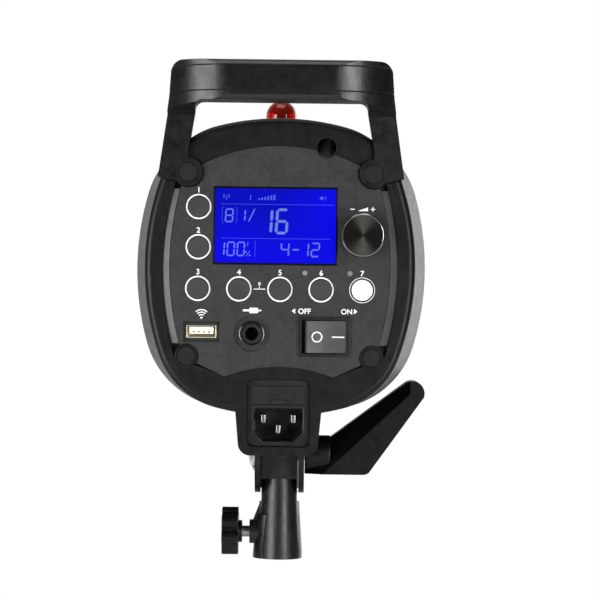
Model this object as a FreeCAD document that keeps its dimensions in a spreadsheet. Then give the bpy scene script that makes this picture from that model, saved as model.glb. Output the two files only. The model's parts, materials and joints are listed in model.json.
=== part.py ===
"""Monolight strobe: a studio flash head on a tilting stand mount.

The frame has +Z up. The origin is the centre of the stand socket's mouth, on the socket's axis.
The flash fires towards +Y, and the control panel at the back faces -Y.
Three groups share the document: stand parts stand on the origin, pivot parts are drawn about the
tilt axis, and head parts are drawn about the head's own axis. Each group is placed at its height.
"""
import FreeCAD, Part
import math
import os

import Sketcher
from FreeCAD import Placement, Rotation, Vector

SIZES = {
    # stand socket and its clamp, from the socket's mouth upwards
    "pivot_height": 56.8,
    "stud_radius": 8.1,
    "stud_depth": 35.0,
    "mouth_wall": 4.6,
    "socket_collar": 4.0,
    "neck_wall": 2.0,
    "taper_drop": 15.4,
    "knuckle_width": 19.4,
    "clamp_height": 14.0,
    "clamp_boss_radius": 6.5,
    "clamp_boss_reach": 16.0,
    "clamp_screw_radius": 3.0,
    "clamp_travel": 3.5,
    "clamp_gap": 0.4,
    "clamp_tip_length": 3.0,
    "clamp_knob_radius": 13.2,
    "clamp_knob_length": 9.0,
    "clamp_hub_radius": 6.0,
    "clamp_hub_length": 2.0,
    "clamp_lobe_radius": 3.6,
    "clamp_lobe_count": 7.0,
    # yoke, pivot bolt and tilt lever
    "yoke_rise": 22.6,
    "yoke_thickness": 3.0,
    "yoke_side_gap": 0.6,
    "cheek_radius": 21.4,
    "cheek_top_half": 30.0,
    "yoke_screw_inset": 8.0,
    "pivot_radius": 4.0,
    "bolt_head_radius": 9.5,
    "bolt_head_rim": 1.0,
    "bolt_head_crown": 2.8,
    "washer_radius": 19.0,
    "washer_clearance": 0.05,
    "lever_hub_radius": 10.0,
    "lever_hub_length": 14.0,
    "lever_depth": 20.0,
    "lever_bottom": 10.7,
    "lever_elbow": 47.0,
    "lever_reach": 78.4,
    "lever_rise": 34.6,
    "lever_tip_radius": 6.4,
    "lever_floor": 3.0,
    # head: the foot under the housing, and the stations along the head
    "foot_height": 1.0,
    "rear_depth": 124.0,
    "shoulder_length": 12.0,
    "cover_joint": 62.0,
    "collar_joint": 80.0,
    "collar_length": 26.0,
    "case_half_width": 74.5,
    "case_half_height": 76.0,
    "case_side_radius": 140.0,
    "case_top_radius": 130.0,
    "case_corner_radius": 46.0,
    "rear_half_width": 66.7,
    "rear_taper": 2.7,
    "rear_side_radius": 132.0,
    "rear_top_radius": 124.0,
    "rear_corner_radius": 40.0,
    "wall": 3.0,
    "rear_edge_round": 3.5,
    "seat_clearance": 0.3,
    "running_clearance": 0.06,
    # inlet tongue under the rear cover
    "tongue_flare": 1.9,
    "tongue_side": 4.2,
    "tongue_under": 4.25,
    "tongue_round": 6.0,
    "tongue_front": 72.0,
    "inlet_gap": 1.05,
    "inlet_width": 31.0,
    "inlet_height": 33.3,
    "inlet_recess": 3.0,
    "inlet_round": 2.9,
    "inlet_length": 34.0,
    "fuse_rise": 8.7,
    "fuse_width": 25.0,
    "fuse_height": 8.8,
    "fuse_depth": 20.0,
    "fuse_radius": 2.5,
    "cavity_fall": 5.9,
    "cavity_width": 24.3,
    "cavity_height": 16.3,
    "cavity_chamfer": 4.75,
    "cavity_depth": 18.0,
    "pin_spread": 7.4,
    "pin_length": 15.0,
    # control panel
    "panel_thickness": 4.0,
    "panel_proud": 1.0,
    "panel_top_radius": 84.0,
    "panel_half": 47.0,
    "panel_top_margin": 28.3,
    "panel_low": 44.5,
    "panel_side_radius": 146.0,
    "panel_vee_half": 26.6,
    "panel_vee_fall": 9.5,
    "panel_arch_radius": 72.0,
    "groove_width": 4.6,
    "ledge": 3.0,
    "screw_inset": 1.5,
    "screw_over": 1.0,
    "screw_under": 0.3,
    "screw_radius": 2.0,
    "screw_head_radius": 3.8,
    "screw_head_height": 2.4,
    "screw_length": 30.0,
    "post_radius": 5.9,
    "cap_radius": 4.6,
    "cap_height": 1.6,
    # display
    "window_z": 20.15,
    "window_key_gap": 0.75,
    "window_dial_gap": 1.55,
    "window_height": 38.4,
    "window_thickness": 1.2,
    "window_border": 2.6,
    "board_gap": 9.0,
    "board_thickness": 1.6,
    # keys
    "key_radius": 5.2,
    "key_rim": 1.1,
    "key_proud": 1.2,
    "key_travel": 0.8,
    "key_gap": 0.2,
    "key_margin": 6.8,
    "key_last_margin": 6.6,
    "key_row": -10.9,
    "key_offset": 0.35,
    "key_top_margin": 15.8,
    "led_radius": 1.25,
    "led_drop": 2.8,
    # dial
    "dial_margin": 6.8,
    "dial_z": 15.8,
    "dial_radius": 10.5,
    "dial_height": 12.0,
    "dial_lift": 1.3,
    "dial_shaft_radius": 3.0,
    "dial_bush_radius": 4.3,
    "dial_travel": 0.5,
    "encoder_size": 12.0,
    # sockets and the switch
    "usb_margin": 8.8,
    "usb_rise": 12.4,
    "usb_width": 14.7,
    "usb_height": 6.0,
    "usb_recess_side": 1.35,
    "usb_recess_over": 1.85,
    "jack_x": -13.5,
    "jack_rise": 11.7,
    "jack_bore_radius": 3.25,
    "jack_bush_radius": 4.9,
    "jack_nut_radius": 6.25,
    "jack_recess_radius": 8.7,
    "jack_depth": 28.0,
    "switch_margin": 25.1,
    "switch_rise": 10.5,
    "switch_rim": 3.3,
    "switch_side": 2.0,
    "switch_lip": 1.0,
    "switch_depth": 20.0,
    "rocker_half": 9.6,
    "rocker_height": 15.6,
    "rocker_pivot_depth": 6.0,
    "rocker_swing": 9.0,
    "rocker_pin_radius": 1.2,
    # umbrella tube and slave sensor
    "umbrella_x": 22.3,
    "umbrella_drop": 17.1,
    "umbrella_bore": 4.75,
    "umbrella_wall": 0.5,
    "sensor_x": -0.9,
    "sensor_inset": 12.0,
    "sensor_radius": 7.9,
    "sensor_base_radius": 9.4,
    "sensor_rise": 12.0,
    # handle
    "handle_lug_radius": 7.2,
    "arm_thickness": 6.0,
    "arm_width": 14.8,
    "arm_under": 2.4,
    "grip_half": 54.0,
    "grip_clear": 6.7,
    "grip_height": 19.5,
    "grip_back": 26.0,
    "grip_depth": 22.0,
    "grip_end_round": 6.0,
    "grip_edge_round": 5.0,
    "grip_flat_half": 22.0,
    "grip_bow_radius": 42.0,
    "grip_bow_turn": 60.0,
    # vents in the housing's sides
    "vent_rear": 46.0,
    "vent_front": 52.0,
    "vent_half_height": 27.0,
    "vent_inset": 0.9,
    "vent_slot": 3.2,
    "vent_pitch": 7.0,
    "vent_edge": 5.0,
    # inside the housing
    "chassis_drop": 44.0,
    "chassis_thickness": 2.0,
    "chassis_half": 50.0,
    "chassis_inset": 4.0,
    "rail_width": 8.0,
    "fan_size": 80.0,
    "fan_depth": 25.0,
    "fan_rear": 52.0,
    "fan_rim": 2.0,
    "fan_hub_radius": 15.0,
    "fan_blade_count": 7.0,
    "fan_blade_angle": 32.0,
    "fan_pin_radius": 2.0,
    "capacitor_radius": 15.0,
    "capacitor_length": 54.0,
    "capacitor_rear": 5.0,
    "board_post_reach": 4.5,
    "board_headroom": 6.5,
    "transformer_size": 36.0,
    # front: collar, mount ring, reflector, tube and modelling lamp
    "collar_radius": 75.0,
    "bulkhead_reach": 12.0,
    "bulkhead_thickness": 2.0,
    "ring_inset": 0.5,
    "ring_depth": 12.0,
    "ring_step": 9.0,
    "ring_wall": 8.5,
    "ring_flange": 3.0,
    "lip_reach": 4.0,
    "lip_thickness": 2.5,
    "lip_gap_angle": 26.0,
    "dish_inner": 24.0,
    "dish_margin": 0.6,
    "dish_rise": 10.0,
    "dish_sheet": 1.2,
    "tube_ring_radius": 40.0,
    "tube_radius": 5.0,
    "tube_rise": 24.0,
    "tube_gap_angle": 16.0,
    "tube_socket_radius": 8.0,
    "tube_socket_height": 10.0,
    "lamp_socket_wall": 0.9,
    "lamp_rim": 3.0,
    "lamp_socket_depth": 34.0,
    "lamp_base_radius": 13.1,
    "lamp_base_length": 26.0,
    "lamp_neck": 11.5,
    "lamp_bulb_radius": 16.0,
    "lamp_length": 58.0,
    "lock_pin_radius": 2.5,
    "lock_travel": 4.0,
    "lock_tab_proud": 5.0,
    "lock_tab_half": 7.0,
    "lock_arm_half": 5.0,
    "lock_arm_depth": 4.0,
}

AXES = {"x": Rotation(Vector(0, 1, 0), 90), "y": Rotation(Vector(1, 0, 0), -90), "z": Rotation()}
PLANES = {"XY": Rotation(), "XZ": Rotation(Vector(1, 0, 0), 90), "YZ": Rotation(0.5, 0.5, 0.5, 0.5)}
PLANE_SIDE = {"XY": 1, "XZ": -1, "YZ": 1}

doc = FreeCAD.newDocument("monolight_strobe")


class Size:
    """A length, angle or count that keeps its value together with the sheet expression behind it."""

    def __init__(self, text, value):
        self.text = text
        self.value = value

    def _with(self, sign, other, value):
        return Size("(%s %s %s)" % (self.text, sign, size(other).text), value)

    def __add__(self, other):
        return self._with("+", other, self.value + size(other).value)

    def __sub__(self, other):
        return self._with("-", other, self.value - size(other).value)

    def __mul__(self, other):
        return self._with("*", other, self.value * size(other).value)

    def __truediv__(self, other):
        return self._with("/", other, self.value / size(other).value)

    def __radd__(self, other):
        return size(other) + self

    def __rsub__(self, other):
        return size(other) - self

    def __rmul__(self, other):
        return size(other) * self

    def __neg__(self):
        return Size("(-%s)" % self.text, -self.value)


def size(value):
    """Give a plain number the form of a Size."""
    if isinstance(value, Size):
        return value
    return Size("(%r)" % float(value), float(value))


def cosine(angle):
    """Cosine of an angle in degrees."""
    angle = size(angle)
    return Size("cos(%s)" % angle.text, math.cos(math.radians(angle.value)))


def root(value):
    """Square root of a size."""
    value = size(value)
    return Size("sqrt(%s)" % value.text, math.sqrt(value.value))


def sine(angle):
    """Sine of an angle in degrees."""
    angle = size(angle)
    return Size("sin(%s)" % angle.text, math.sin(math.radians(angle.value)))


class SizeSheet:
    """The spreadsheet of driving sizes, read by name."""

    def __init__(self, values):
        self.sheet = doc.addObject("Spreadsheet::Sheet", "Sizes")
        for row, (name, value) in enumerate(values.items(), start=1):
            self.sheet.set("A%d" % row, name)
            self.sheet.set("B%d" % row, str(value))
            self.sheet.setAlias("B%d" % row, name)
        doc.recompute()

    def __getattr__(self, name):
        return Size("Sizes.%s" % name, float(getattr(self.sheet, name)))


s = SizeSheet(SIZES)

# ---- sizes and places worked out from the sheet --------------------------------------------------

# stand socket
NECK_RADIUS = s.stud_radius + s.neck_wall
MOUTH_RADIUS = s.stud_radius + s.mouth_wall
TAPER_TOP = s.pivot_height - s.taper_drop
CLAMP_REACH = s.stud_radius + s.clamp_gap
# stations along the head, from the rear forwards
PANEL_BACK = s.panel_thickness - s.panel_proud - s.rear_depth
PANEL_FACE = PANEL_BACK - s.panel_thickness
SHOULDER_DEPTH = s.rear_depth - s.shoulder_length
INLET_FACE = s.inlet_recess - s.rear_depth
BOARD_FRONT = PANEL_BACK + s.board_gap
CHASSIS_REAR = s.cover_joint - s.chassis_inset
SENSOR_DEPTH = s.cover_joint - s.sensor_inset
BULKHEAD_FRONT = s.collar_joint + s.bulkhead_reach
CHASSIS_FRONT = BULKHEAD_FRONT - s.bulkhead_thickness
RING_JOINT = s.collar_joint + s.collar_length
# heights over and under the head's axis
HEAD_RISE = s.yoke_rise + s.foot_height + s.case_half_height
REAR_HALF_HEIGHT = s.case_half_height - s.rear_taper
UMBRELLA_Z = s.case_half_height - s.umbrella_drop
SENSOR_TOP = s.case_half_height + s.sensor_rise
GRIP_UNDER = REAR_HALF_HEIGHT + s.grip_clear
GRIP_TOP = GRIP_UNDER + s.grip_height
PANEL_TOP = REAR_HALF_HEIGHT - s.panel_top_margin
VEE_DROP = s.panel_low + s.panel_vee_fall
INLET_DROP = VEE_DROP + s.inlet_gap + s.inlet_height / 2
FUSE_DROP = INLET_DROP - s.fuse_rise
CAVITY_DROP = INLET_DROP + s.cavity_fall
TONGUE_FOOT = INLET_DROP + s.inlet_height / 2 + s.tongue_under
TONGUE_FOOT_HALF = s.inlet_width / 2 + s.tongue_side
TONGUE_TOP_HALF = TONGUE_FOOT_HALF + s.tongue_flare
# places on the control panel
SCREW_HALF = s.panel_half - s.screw_inset
SCREW_HIGH = PANEL_TOP + s.screw_over
SCREW_LOW = s.panel_low - s.screw_under
ARM_OUTER = SCREW_HALF + s.arm_width
ARM_LOW = SCREW_HIGH - s.arm_under
KEY_FLANGE = s.key_radius + s.key_rim
KEY_LEFT = s.key_margin - s.panel_half
KEY_UPPER = PANEL_TOP - s.key_top_margin
KEY_MIDDLE = (KEY_UPPER + s.key_row) / 2 + s.key_offset
KEY_PITCH = (s.panel_half - s.key_last_margin - KEY_LEFT) / 4
DIAL_X = s.panel_half - s.dial_margin
WINDOW_LEFT = KEY_LEFT + KEY_FLANGE + s.window_key_gap
WINDOW_RIGHT = DIAL_X - s.dial_radius - s.window_dial_gap
WINDOW_WIDTH = WINDOW_RIGHT - WINDOW_LEFT
WINDOW_X = (WINDOW_LEFT + WINDOW_RIGHT) / 2
USB_X = s.usb_margin - s.panel_half
USB_Z = s.usb_rise - s.panel_low
USB_RECESS_WIDTH = s.usb_width + s.usb_recess_side * 2
USB_RECESS_HEIGHT = s.usb_height + s.usb_recess_over * 2
JACK_Z = s.jack_rise - s.panel_low
SWITCH_X = s.panel_half - s.switch_margin
SWITCH_Z = s.switch_rise - s.panel_low
SWITCH_WIDTH = (s.rocker_half + s.switch_rim) * 2
SWITCH_HEIGHT = s.rocker_height + s.switch_side * 2
ROCKER_PIVOT = PANEL_FACE - s.switch_lip + s.rocker_pivot_depth
# yoke, inside and front
YOKE_HALF = s.knuckle_width / 2 + s.yoke_side_gap + s.yoke_thickness
YOKE_SCREW_REACH = s.cheek_top_half - s.yoke_screw_inset
FAN_BORE = s.fan_size / 2 - s.fan_rim
FAN_CENTRE = s.fan_size / 2 - s.chassis_drop
POWER_BOARD_HEIGHT = s.capacitor_radius * 2 + s.board_headroom
RING_RADIUS = s.collar_radius - s.ring_inset
RING_BORE = RING_RADIUS - s.ring_wall
RING_OPENING = RING_BORE - s.ring_step
RING_SEAT_RADIUS = (RING_OPENING + RING_BORE) / 2
LIP_OPENING = RING_BORE - s.lip_reach
DISH_OUTER = RING_OPENING - s.dish_margin
LAMP_BARREL = s.lamp_base_radius + s.lamp_socket_wall
LAMP_RIM = LAMP_BARREL + s.lamp_rim
LAMP_BASE_REAR = BULKHEAD_FRONT + s.dish_sheet - s.lamp_socket_depth + 3.1
LOCK_REAR = BULKHEAD_FRONT + 5.5
LOCK_TAB_REACH = s.collar_radius + s.lock_tab_proud


def bind(thing, path, value):
    """Tie one property of an object to a size."""
    thing.setExpression(path, size(value).text)


def put(thing, x=0, y=0, z=0):
    """Place an object by sizes, keeping its rotation."""
    for letter, value in (("x", x), ("y", y), ("z", z)):
        bind(thing, ".Placement.Base.%s" % letter, value)
    return thing


# ---- primitives and booleans ------------------------------------------------------------------


def box(x0, x1, y0, y1, z0, z1):
    """A block between two corners."""
    block = doc.addObject("Part::Box", "Block")
    for name, low, high in (("Length", x0, x1), ("Width", y0, y1), ("Height", z0, z1)):
        bind(block, name, size(high) - low)
    return put(block, x0, y0, z0)


def rod(axis, x, y, z, radius, length):
    """A cylinder that starts at a point and runs along +axis."""
    cylinder = doc.addObject("Part::Cylinder", "Rod")
    cylinder.Placement = Placement(Vector(), AXES[axis])
    bind(cylinder, "Radius", radius)
    bind(cylinder, "Height", length)
    return put(cylinder, x, y, z)


def ball(x, y, z, radius):
    """A sphere."""
    sphere = doc.addObject("Part::Sphere", "Ball")
    bind(sphere, "Radius", radius)
    return put(sphere, x, y, z)


def dome(x, y, z, radius):
    """The upper half of a sphere."""
    half = ball(x, y, z, radius)
    half.Angle1 = 0
    return half


def fuse(*shapes):
    """Join shapes into one."""
    joined = doc.addObject("Part::MultiFuse", "Join")
    joined.Shapes = list(shapes)
    joined.Refine = True
    return joined


def cut(base, *tools):
    """Take tools away from a base shape."""
    left = doc.addObject("Part::Cut", "Cut")
    left.Base = base
    left.Tool = tools[0] if len(tools) == 1 else fuse(*tools)
    left.Refine = True
    return left


def common(*shapes):
    """Keep what all the shapes share."""
    shared = doc.addObject("Part::MultiCommon", "Common")
    shared.Shapes = list(shapes)
    shared.Refine = True
    return shared


def group(*solids):
    """Hold separate identical solids in one sub-part."""
    held = doc.addObject("Part::Compound", "Group")
    held.Links = list(solids)
    return held


def extrude(draft, length, both_ways=False):
    """Extrude a free sketch along its normal."""
    block = doc.addObject("Part::Extrusion", "Extrusion")
    block.Base = draft.sketch
    block.DirMode = "Normal"
    block.Solid = True
    block.Symmetric = both_ways
    bind(block, "LengthFwd", length)
    return block


# ---- sketches and bodies ------------------------------------------------------------------------


class Draft:
    """A sketch on a main plane, whose corners, centres and radii are tied to sizes.

    The level is the plane's place along the axis it faces.
    """

    def __init__(self, plane, level=0, body=None):
        offset = size(level) * PLANE_SIDE[plane]
        if body is None:
            self.sketch = doc.addObject("Sketcher::SketchObject", "Outline")
            self.sketch.Placement = Placement(Vector(), PLANES[plane])
            place = {"XY": (0, 0, level), "XZ": (0, level, 0), "YZ": (level, 0, 0)}[plane]
            put(self.sketch, *place)
        else:
            self.sketch = body.newObject("Sketcher::SketchObject", "Outline")
            origin_planes = [f for f in body.Origin.OriginFeatures if f.Role == plane + "_Plane"]
            self.sketch.AttachmentSupport = [(origin_planes[0], "")]
            self.sketch.MapMode = "FlatFace"
            bind(self.sketch, ".AttachmentOffset.Base.z", offset)

    def tie(self, kind, *where):
        """Add a constraint whose last argument is its size."""
        value = size(where[-1])
        index = self.sketch.addConstraint(Sketcher.Constraint(kind, *where[:-1], value.value))
        bind(self.sketch, "Constraints[%d]" % index, value)

    def pin(self, edge, end, x, y):
        """Hold a point of the sketch at a place."""
        self.tie("DistanceX", -1, 1, edge, end, x)
        self.tie("DistanceY", -1, 1, edge, end, y)

    def circle(self, x, y, radius):
        """Draw a circle."""
        centre = Vector(size(x).value, size(y).value, 0)
        edge = self.sketch.addGeometry(Part.Circle(centre, Vector(0, 0, 1), size(radius).value), False)
        self.pin(edge, 3, x, y)
        self.tie("Radius", edge, radius)
        return self

    def outline(self, *corners):
        """Draw a closed outline: (x, y) goes straight on, (x, y, radius) arrives there on an arc.

        A positive radius turns left and a negative one turns right.
        """
        ends = []
        for before, corner in zip(corners[-1:] + corners[:-1], corners):
            start = Vector(size(before[0]).value, size(before[1]).value, 0)
            end = Vector(size(corner[0]).value, size(corner[1]).value, 0)
            if len(corner) == 2:
                edge = self.sketch.addGeometry(Part.LineSegment(start, end), False)
                ends.append((edge, 1, 2))
            else:
                ends.append(self.arc(start, end, size(corner[2])))
        for k, corner in enumerate(corners):
            following = ends[(k + 1) % len(ends)]
            arriving = ends[k]
            self.sketch.addConstraint(
                Sketcher.Constraint("Coincident", arriving[0], arriving[2], following[0], following[1]))
            self.pin(arriving[0], arriving[2], corner[0], corner[1])
        for (edge, _, _), corner in zip(ends, corners):
            if len(corner) == 3:
                radius = size(corner[2])
                self.tie("Radius", edge, radius if radius.value > 0 else -radius)
        return self

    def arc(self, start, end, radius):
        """Add an arc from start to end, and give its edge with the numbers of its two ends."""
        chord = end - start
        middle = (start + end) * 0.5
        reach = math.sqrt(max(radius.value ** 2 - (chord.Length / 2) ** 2, 0))
        left = Vector(-chord.y, chord.x, 0).normalize()
        centre = middle + left * (reach if radius.value > 0 else -reach)
        first, last = (start, end) if radius.value > 0 else (end, start)
        ring = Part.Circle(centre, Vector(0, 0, 1), abs(radius.value))
        angles = [math.atan2(p.y - centre.y, p.x - centre.x) for p in (first, last)]
        edge = self.sketch.addGeometry(Part.ArcOfCircle(ring, angles[0], angles[1]), False)
        return (edge, 1, 2) if radius.value > 0 else (edge, 2, 1)

    def rounded_square(self, half_width, half_height, side_radius, top_radius, corner_radius):
        """Draw a square of four flat arcs that run smoothly into four corner arcs."""
        wide, high = size(half_width).value, size(half_height).value
        side, top, corner = (size(r).value for r in (side_radius, top_radius, corner_radius))
        side_centre, top_centre = wide - side, high - top
        corner_x, corner_y = meeting_point(side_centre, side - corner, top_centre, top - corner)
        side_turn = math.atan2(corner_y, corner_x - side_centre)
        top_turn = math.atan2(corner_y - top_centre, corner_x)
        quarter = math.pi / 2
        arcs = [
            (side_centre, 0, side_radius, -side_turn, side_turn),
            (corner_x, corner_y, corner_radius, side_turn, top_turn),
            (0, top_centre, top_radius, top_turn, 2 * quarter - top_turn),
            (-corner_x, corner_y, corner_radius, 2 * quarter - top_turn, 2 * quarter - side_turn),
            (-side_centre, 0, side_radius, 2 * quarter - side_turn, 2 * quarter + side_turn),
            (-corner_x, -corner_y, corner_radius, 2 * quarter + side_turn, 2 * quarter + top_turn),
            (0, -top_centre, top_radius, 2 * quarter + top_turn, 4 * quarter - top_turn),
            (corner_x, -corner_y, corner_radius, 4 * quarter - top_turn, 4 * quarter - side_turn),
        ]
        edges = []
        for x, y, radius, start, end in arcs:
            ring = Part.Circle(Vector(x, y, 0), Vector(0, 0, 1), size(radius).value)
            edges.append(self.sketch.addGeometry(Part.ArcOfCircle(ring, start, end), False))
        for edge, following in zip(edges, edges[1:] + edges[:1]):
            self.sketch.addConstraint(Sketcher.Constraint("Tangent", edge, 2, following, 1))
        for edge, arc in zip(edges, arcs):
            self.tie("Radius", edge, arc[2])
        side_place = size(half_width) - side_radius
        top_place = size(half_height) - top_radius
        self.pin(edges[0], 3, side_place, 0)
        self.pin(edges[2], 3, 0, top_place)
        self.pin(edges[4], 3, -side_place, 0)
        self.pin(edges[6], 3, 0, -top_place)
        return self


def meeting_point(x, x_reach, y, y_reach):
    """Where a circle about (x, 0) meets one about (0, y), in the first quarter."""
    apart = math.hypot(x, y)
    along = (x_reach ** 2 - y_reach ** 2 + apart ** 2) / (2 * apart)
    across = math.sqrt(x_reach ** 2 - along ** 2)
    way = (-x / apart, y / apart)
    points = [(x + way[0] * along + turn * way[1] * across, way[1] * along - turn * way[0] * across)
              for turn in (1, -1)]
    return max(points)


def new_body():
    """Start an empty body."""
    return doc.addObject("PartDesign::Body", "Body")


def feature(body, kind, draft, length=None, backwards=False, both_ways=False):
    """Add a pad or pocket made from a sketch."""
    made = body.newObject("PartDesign::" + kind, kind)
    made.Profile = draft.sketch
    bind(made, "Length", length)
    made.Reversed = backwards
    if both_ways:
        made.SideType = "Symmetric"
    draft.sketch.Visibility = False
    return made


def pad(body, draft, length, backwards=False, both_ways=False):
    """Add material out of a sketch, along its normal."""
    return feature(body, "Pad", draft, length, backwards, both_ways)


def pocket(body, draft, length, backwards=False, both_ways=False):
    """Remove material behind a sketch, against its normal. The solid has to get smaller."""
    doc.recompute()
    before = body.Shape.Volume
    made = feature(body, "Pocket", draft, length, backwards, both_ways)
    doc.recompute()
    if body.Shape.Volume >= before:
        raise ValueError("a pocket removed nothing from " + body.Name)
    return made


def turn(body, draft, axis="V_Axis", kind="Revolution"):
    """Turn a sketch a full circle about one of its axes."""
    made = body.newObject("PartDesign::" + kind, kind)
    made.Profile = draft.sketch
    made.ReferenceAxis = (draft.sketch, [axis])
    made.Angle = 360
    return made


def loft(body, kind, first, last):
    """Add or remove the solid between two sketches."""
    made = body.newObject("PartDesign::" + kind, kind)
    made.Profile = first.sketch
    made.Sections = [last.sketch]
    return made


def repeat(body, original, axis_role, count):
    """Repeat a feature evenly round one of the body's own axes."""
    pattern = body.newObject("PartDesign::PolarPattern", "Pattern")
    pattern.Originals = [original]
    pattern.Axis = ([f for f in body.Origin.OriginFeatures if f.Role == axis_role][0], [""])
    pattern.Angle = 360
    bind(pattern, "Occurrences", count)
    body.Tip = pattern


def case_section(draft, grow=0):
    """Draw the housing's section, grown or shrunk all round."""
    return draft.rounded_square(
        s.case_half_width + grow, s.case_half_height + grow, s.case_side_radius + grow,
        s.case_top_radius + grow, s.case_corner_radius + grow)


def rear_section(draft, grow=0):
    """Draw the rear cover's back section, grown or shrunk all round."""
    return draft.rounded_square(
        s.rear_half_width + grow, REAR_HALF_HEIGHT + grow, s.rear_side_radius + grow,
        s.rear_top_radius + grow, s.rear_corner_radius + grow)


def rectangle(draft, x0, x1, y0, y1):
    """Draw a rectangle between two corners."""
    return draft.outline((x0, y0), (x1, y0), (x1, y1), (x0, y1))


# ---- stand mount: drawn about the socket's mouth ------------------------------------------------


def stand_socket():
    """The cast socket that drops over a lighting stand's stud, with the tilt knuckle on top."""
    body = new_body()
    turn(body, Draft("XZ", body=body).outline(
        (s.stud_radius, 0), (MOUTH_RADIUS, 0), (MOUTH_RADIUS, s.socket_collar),
        (NECK_RADIUS, TAPER_TOP), (NECK_RADIUS, s.pivot_height - 8),
        (0, s.pivot_height - 8), (0, s.stud_depth), (s.stud_radius, s.stud_depth)))
    knuckle_foot = TAPER_TOP + 2
    pad(body, rectangle(Draft("YZ", body=body), -NECK_RADIUS, NECK_RADIUS,
                        knuckle_foot, s.pivot_height), s.knuckle_width, both_ways=True)
    pad(body, Draft("YZ", body=body).circle(0, s.pivot_height, NECK_RADIUS),
        s.knuckle_width, both_ways=True)
    flats = Draft("XZ", body=body)
    flat_foot = s.pivot_height - s.cheek_radius - 5
    for near, far in ((s.knuckle_width / 2, s.cheek_radius), (-s.cheek_radius, -s.knuckle_width / 2)):
        rectangle(flats, near, far, flat_foot, s.pivot_height + s.cheek_radius)
    pocket(body, flats, s.cheek_radius * 2, both_ways=True)
    boss_root = s.stud_radius + 1
    pad(body, Draft("YZ", -s.clamp_boss_reach, body).circle(0, s.clamp_height, s.clamp_boss_radius),
        s.clamp_boss_reach - boss_root)
    rib_foot = s.clamp_height + s.clamp_boss_radius - 1
    pad(body, Draft("XZ", body=body).outline(
        (-boss_root, rib_foot), (-s.clamp_boss_reach + 1.5, rib_foot),
        (-s.knuckle_width / 2 - 0.6, flat_foot), (-boss_root, flat_foot)),
        4.0, both_ways=True)
    pocket(body, Draft("YZ", -s.clamp_boss_reach, body).circle(
        0, s.clamp_height, s.clamp_screw_radius + s.running_clearance), s.clamp_boss_reach - 2,
        backwards=True)
    pocket(body, Draft("YZ", body=body).circle(
        0, s.pivot_height, s.pivot_radius + s.running_clearance), s.knuckle_width + 4, both_ways=True)
    return body


def clamp_tip():
    """The brass pad that the clamp screw presses on the stud."""
    return rod("x", -CLAMP_REACH - s.clamp_tip_length, 0, s.clamp_height,
               s.clamp_screw_radius - 0.3, s.clamp_tip_length)


def clamp_screw():
    """The clamp's threaded shank."""
    start = -CLAMP_REACH - s.clamp_tip_length - s.running_clearance
    end = -s.clamp_boss_reach - s.clamp_travel - s.clamp_hub_length - 6
    return rod("x", end, 0, s.clamp_height, s.clamp_screw_radius, start - end)


def clamp_knob():
    """The lobed hand knob moulded on the clamp screw."""
    body = new_body()
    hub_face = s.clamp_boss_reach + s.clamp_travel + 0.5
    knob_face = hub_face + s.clamp_hub_length
    pad(body, Draft("YZ", -knob_face, body).circle(0, 0, s.clamp_hub_radius), s.clamp_hub_length)
    pad(body, Draft("YZ", -knob_face, body).circle(0, 0, s.clamp_knob_radius - 2.2),
        s.clamp_knob_length, backwards=True)
    lobe = pad(body, Draft("YZ", -knob_face, body).circle(
        0, s.clamp_knob_radius - s.clamp_lobe_radius, s.clamp_lobe_radius),
        s.clamp_knob_length, backwards=True)
    repeat(body, lobe, "X_Axis", s.clamp_lobe_count)
    pocket(body, Draft("YZ", -hub_face, body).circle(0, 0, s.clamp_screw_radius),
           s.clamp_hub_length + 5.5)
    return put(body, z=s.clamp_height)


# ---- yoke and lever: drawn about the tilt axis --------------------------------------------------


def yoke():
    """The folded steel yoke bolted under the housing."""
    body = new_body()
    top = s.yoke_rise
    cheek = Draft("YZ", body=body)
    rectangle(cheek, -s.cheek_top_half, s.cheek_top_half, s.cheek_radius * 0.5, top)
    pad(body, cheek, YOKE_HALF * 2, both_ways=True)
    flare = Draft("YZ", body=body)
    flare.outline((-s.cheek_radius, 0), (s.cheek_radius, 0),
                  (s.cheek_top_half, s.cheek_radius * 0.5), (-s.cheek_top_half, s.cheek_radius * 0.5))
    pad(body, flare, YOKE_HALF * 2, both_ways=True)
    pad(body, Draft("YZ", body=body).circle(0, 0, s.cheek_radius), YOKE_HALF * 2, both_ways=True)
    inner = (YOKE_HALF - s.yoke_thickness) * 2
    pocket(body, rectangle(Draft("YZ", body=body), -s.cheek_top_half - 1, s.cheek_top_half + 1,
                           -s.cheek_radius - 1, top - s.yoke_thickness), inner, both_ways=True)
    pocket(body, Draft("YZ", body=body).circle(0, 0, s.pivot_radius), YOKE_HALF * 3, both_ways=True)
    holes = Draft("XY", top, body)
    for side in (-1, 1):
        holes.circle(0, side * YOKE_SCREW_REACH, s.screw_radius + 0.2)
    pocket(body, holes, s.yoke_thickness + 1)
    return body


def pivot_bolt():
    """The chromed bolt with a domed head that carries the tilt."""
    body = new_body()
    face = YOKE_HALF
    head, crown = s.bolt_head_radius, s.bolt_head_crown
    dome = (head * head + crown * crown) / (crown * 2)
    turn(body, Draft("XZ", body=body).outline(
        (-face - s.bolt_head_rim - crown, 0, dome), (face + s.lever_hub_length - 2, 0),
        (face + s.lever_hub_length - 2, s.pivot_radius - s.running_clearance / 2),
        (-face, s.pivot_radius - s.running_clearance / 2), (-face, s.bolt_head_radius),
        (-face - s.bolt_head_rim, s.bolt_head_radius)), "H_Axis")
    return body


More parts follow.
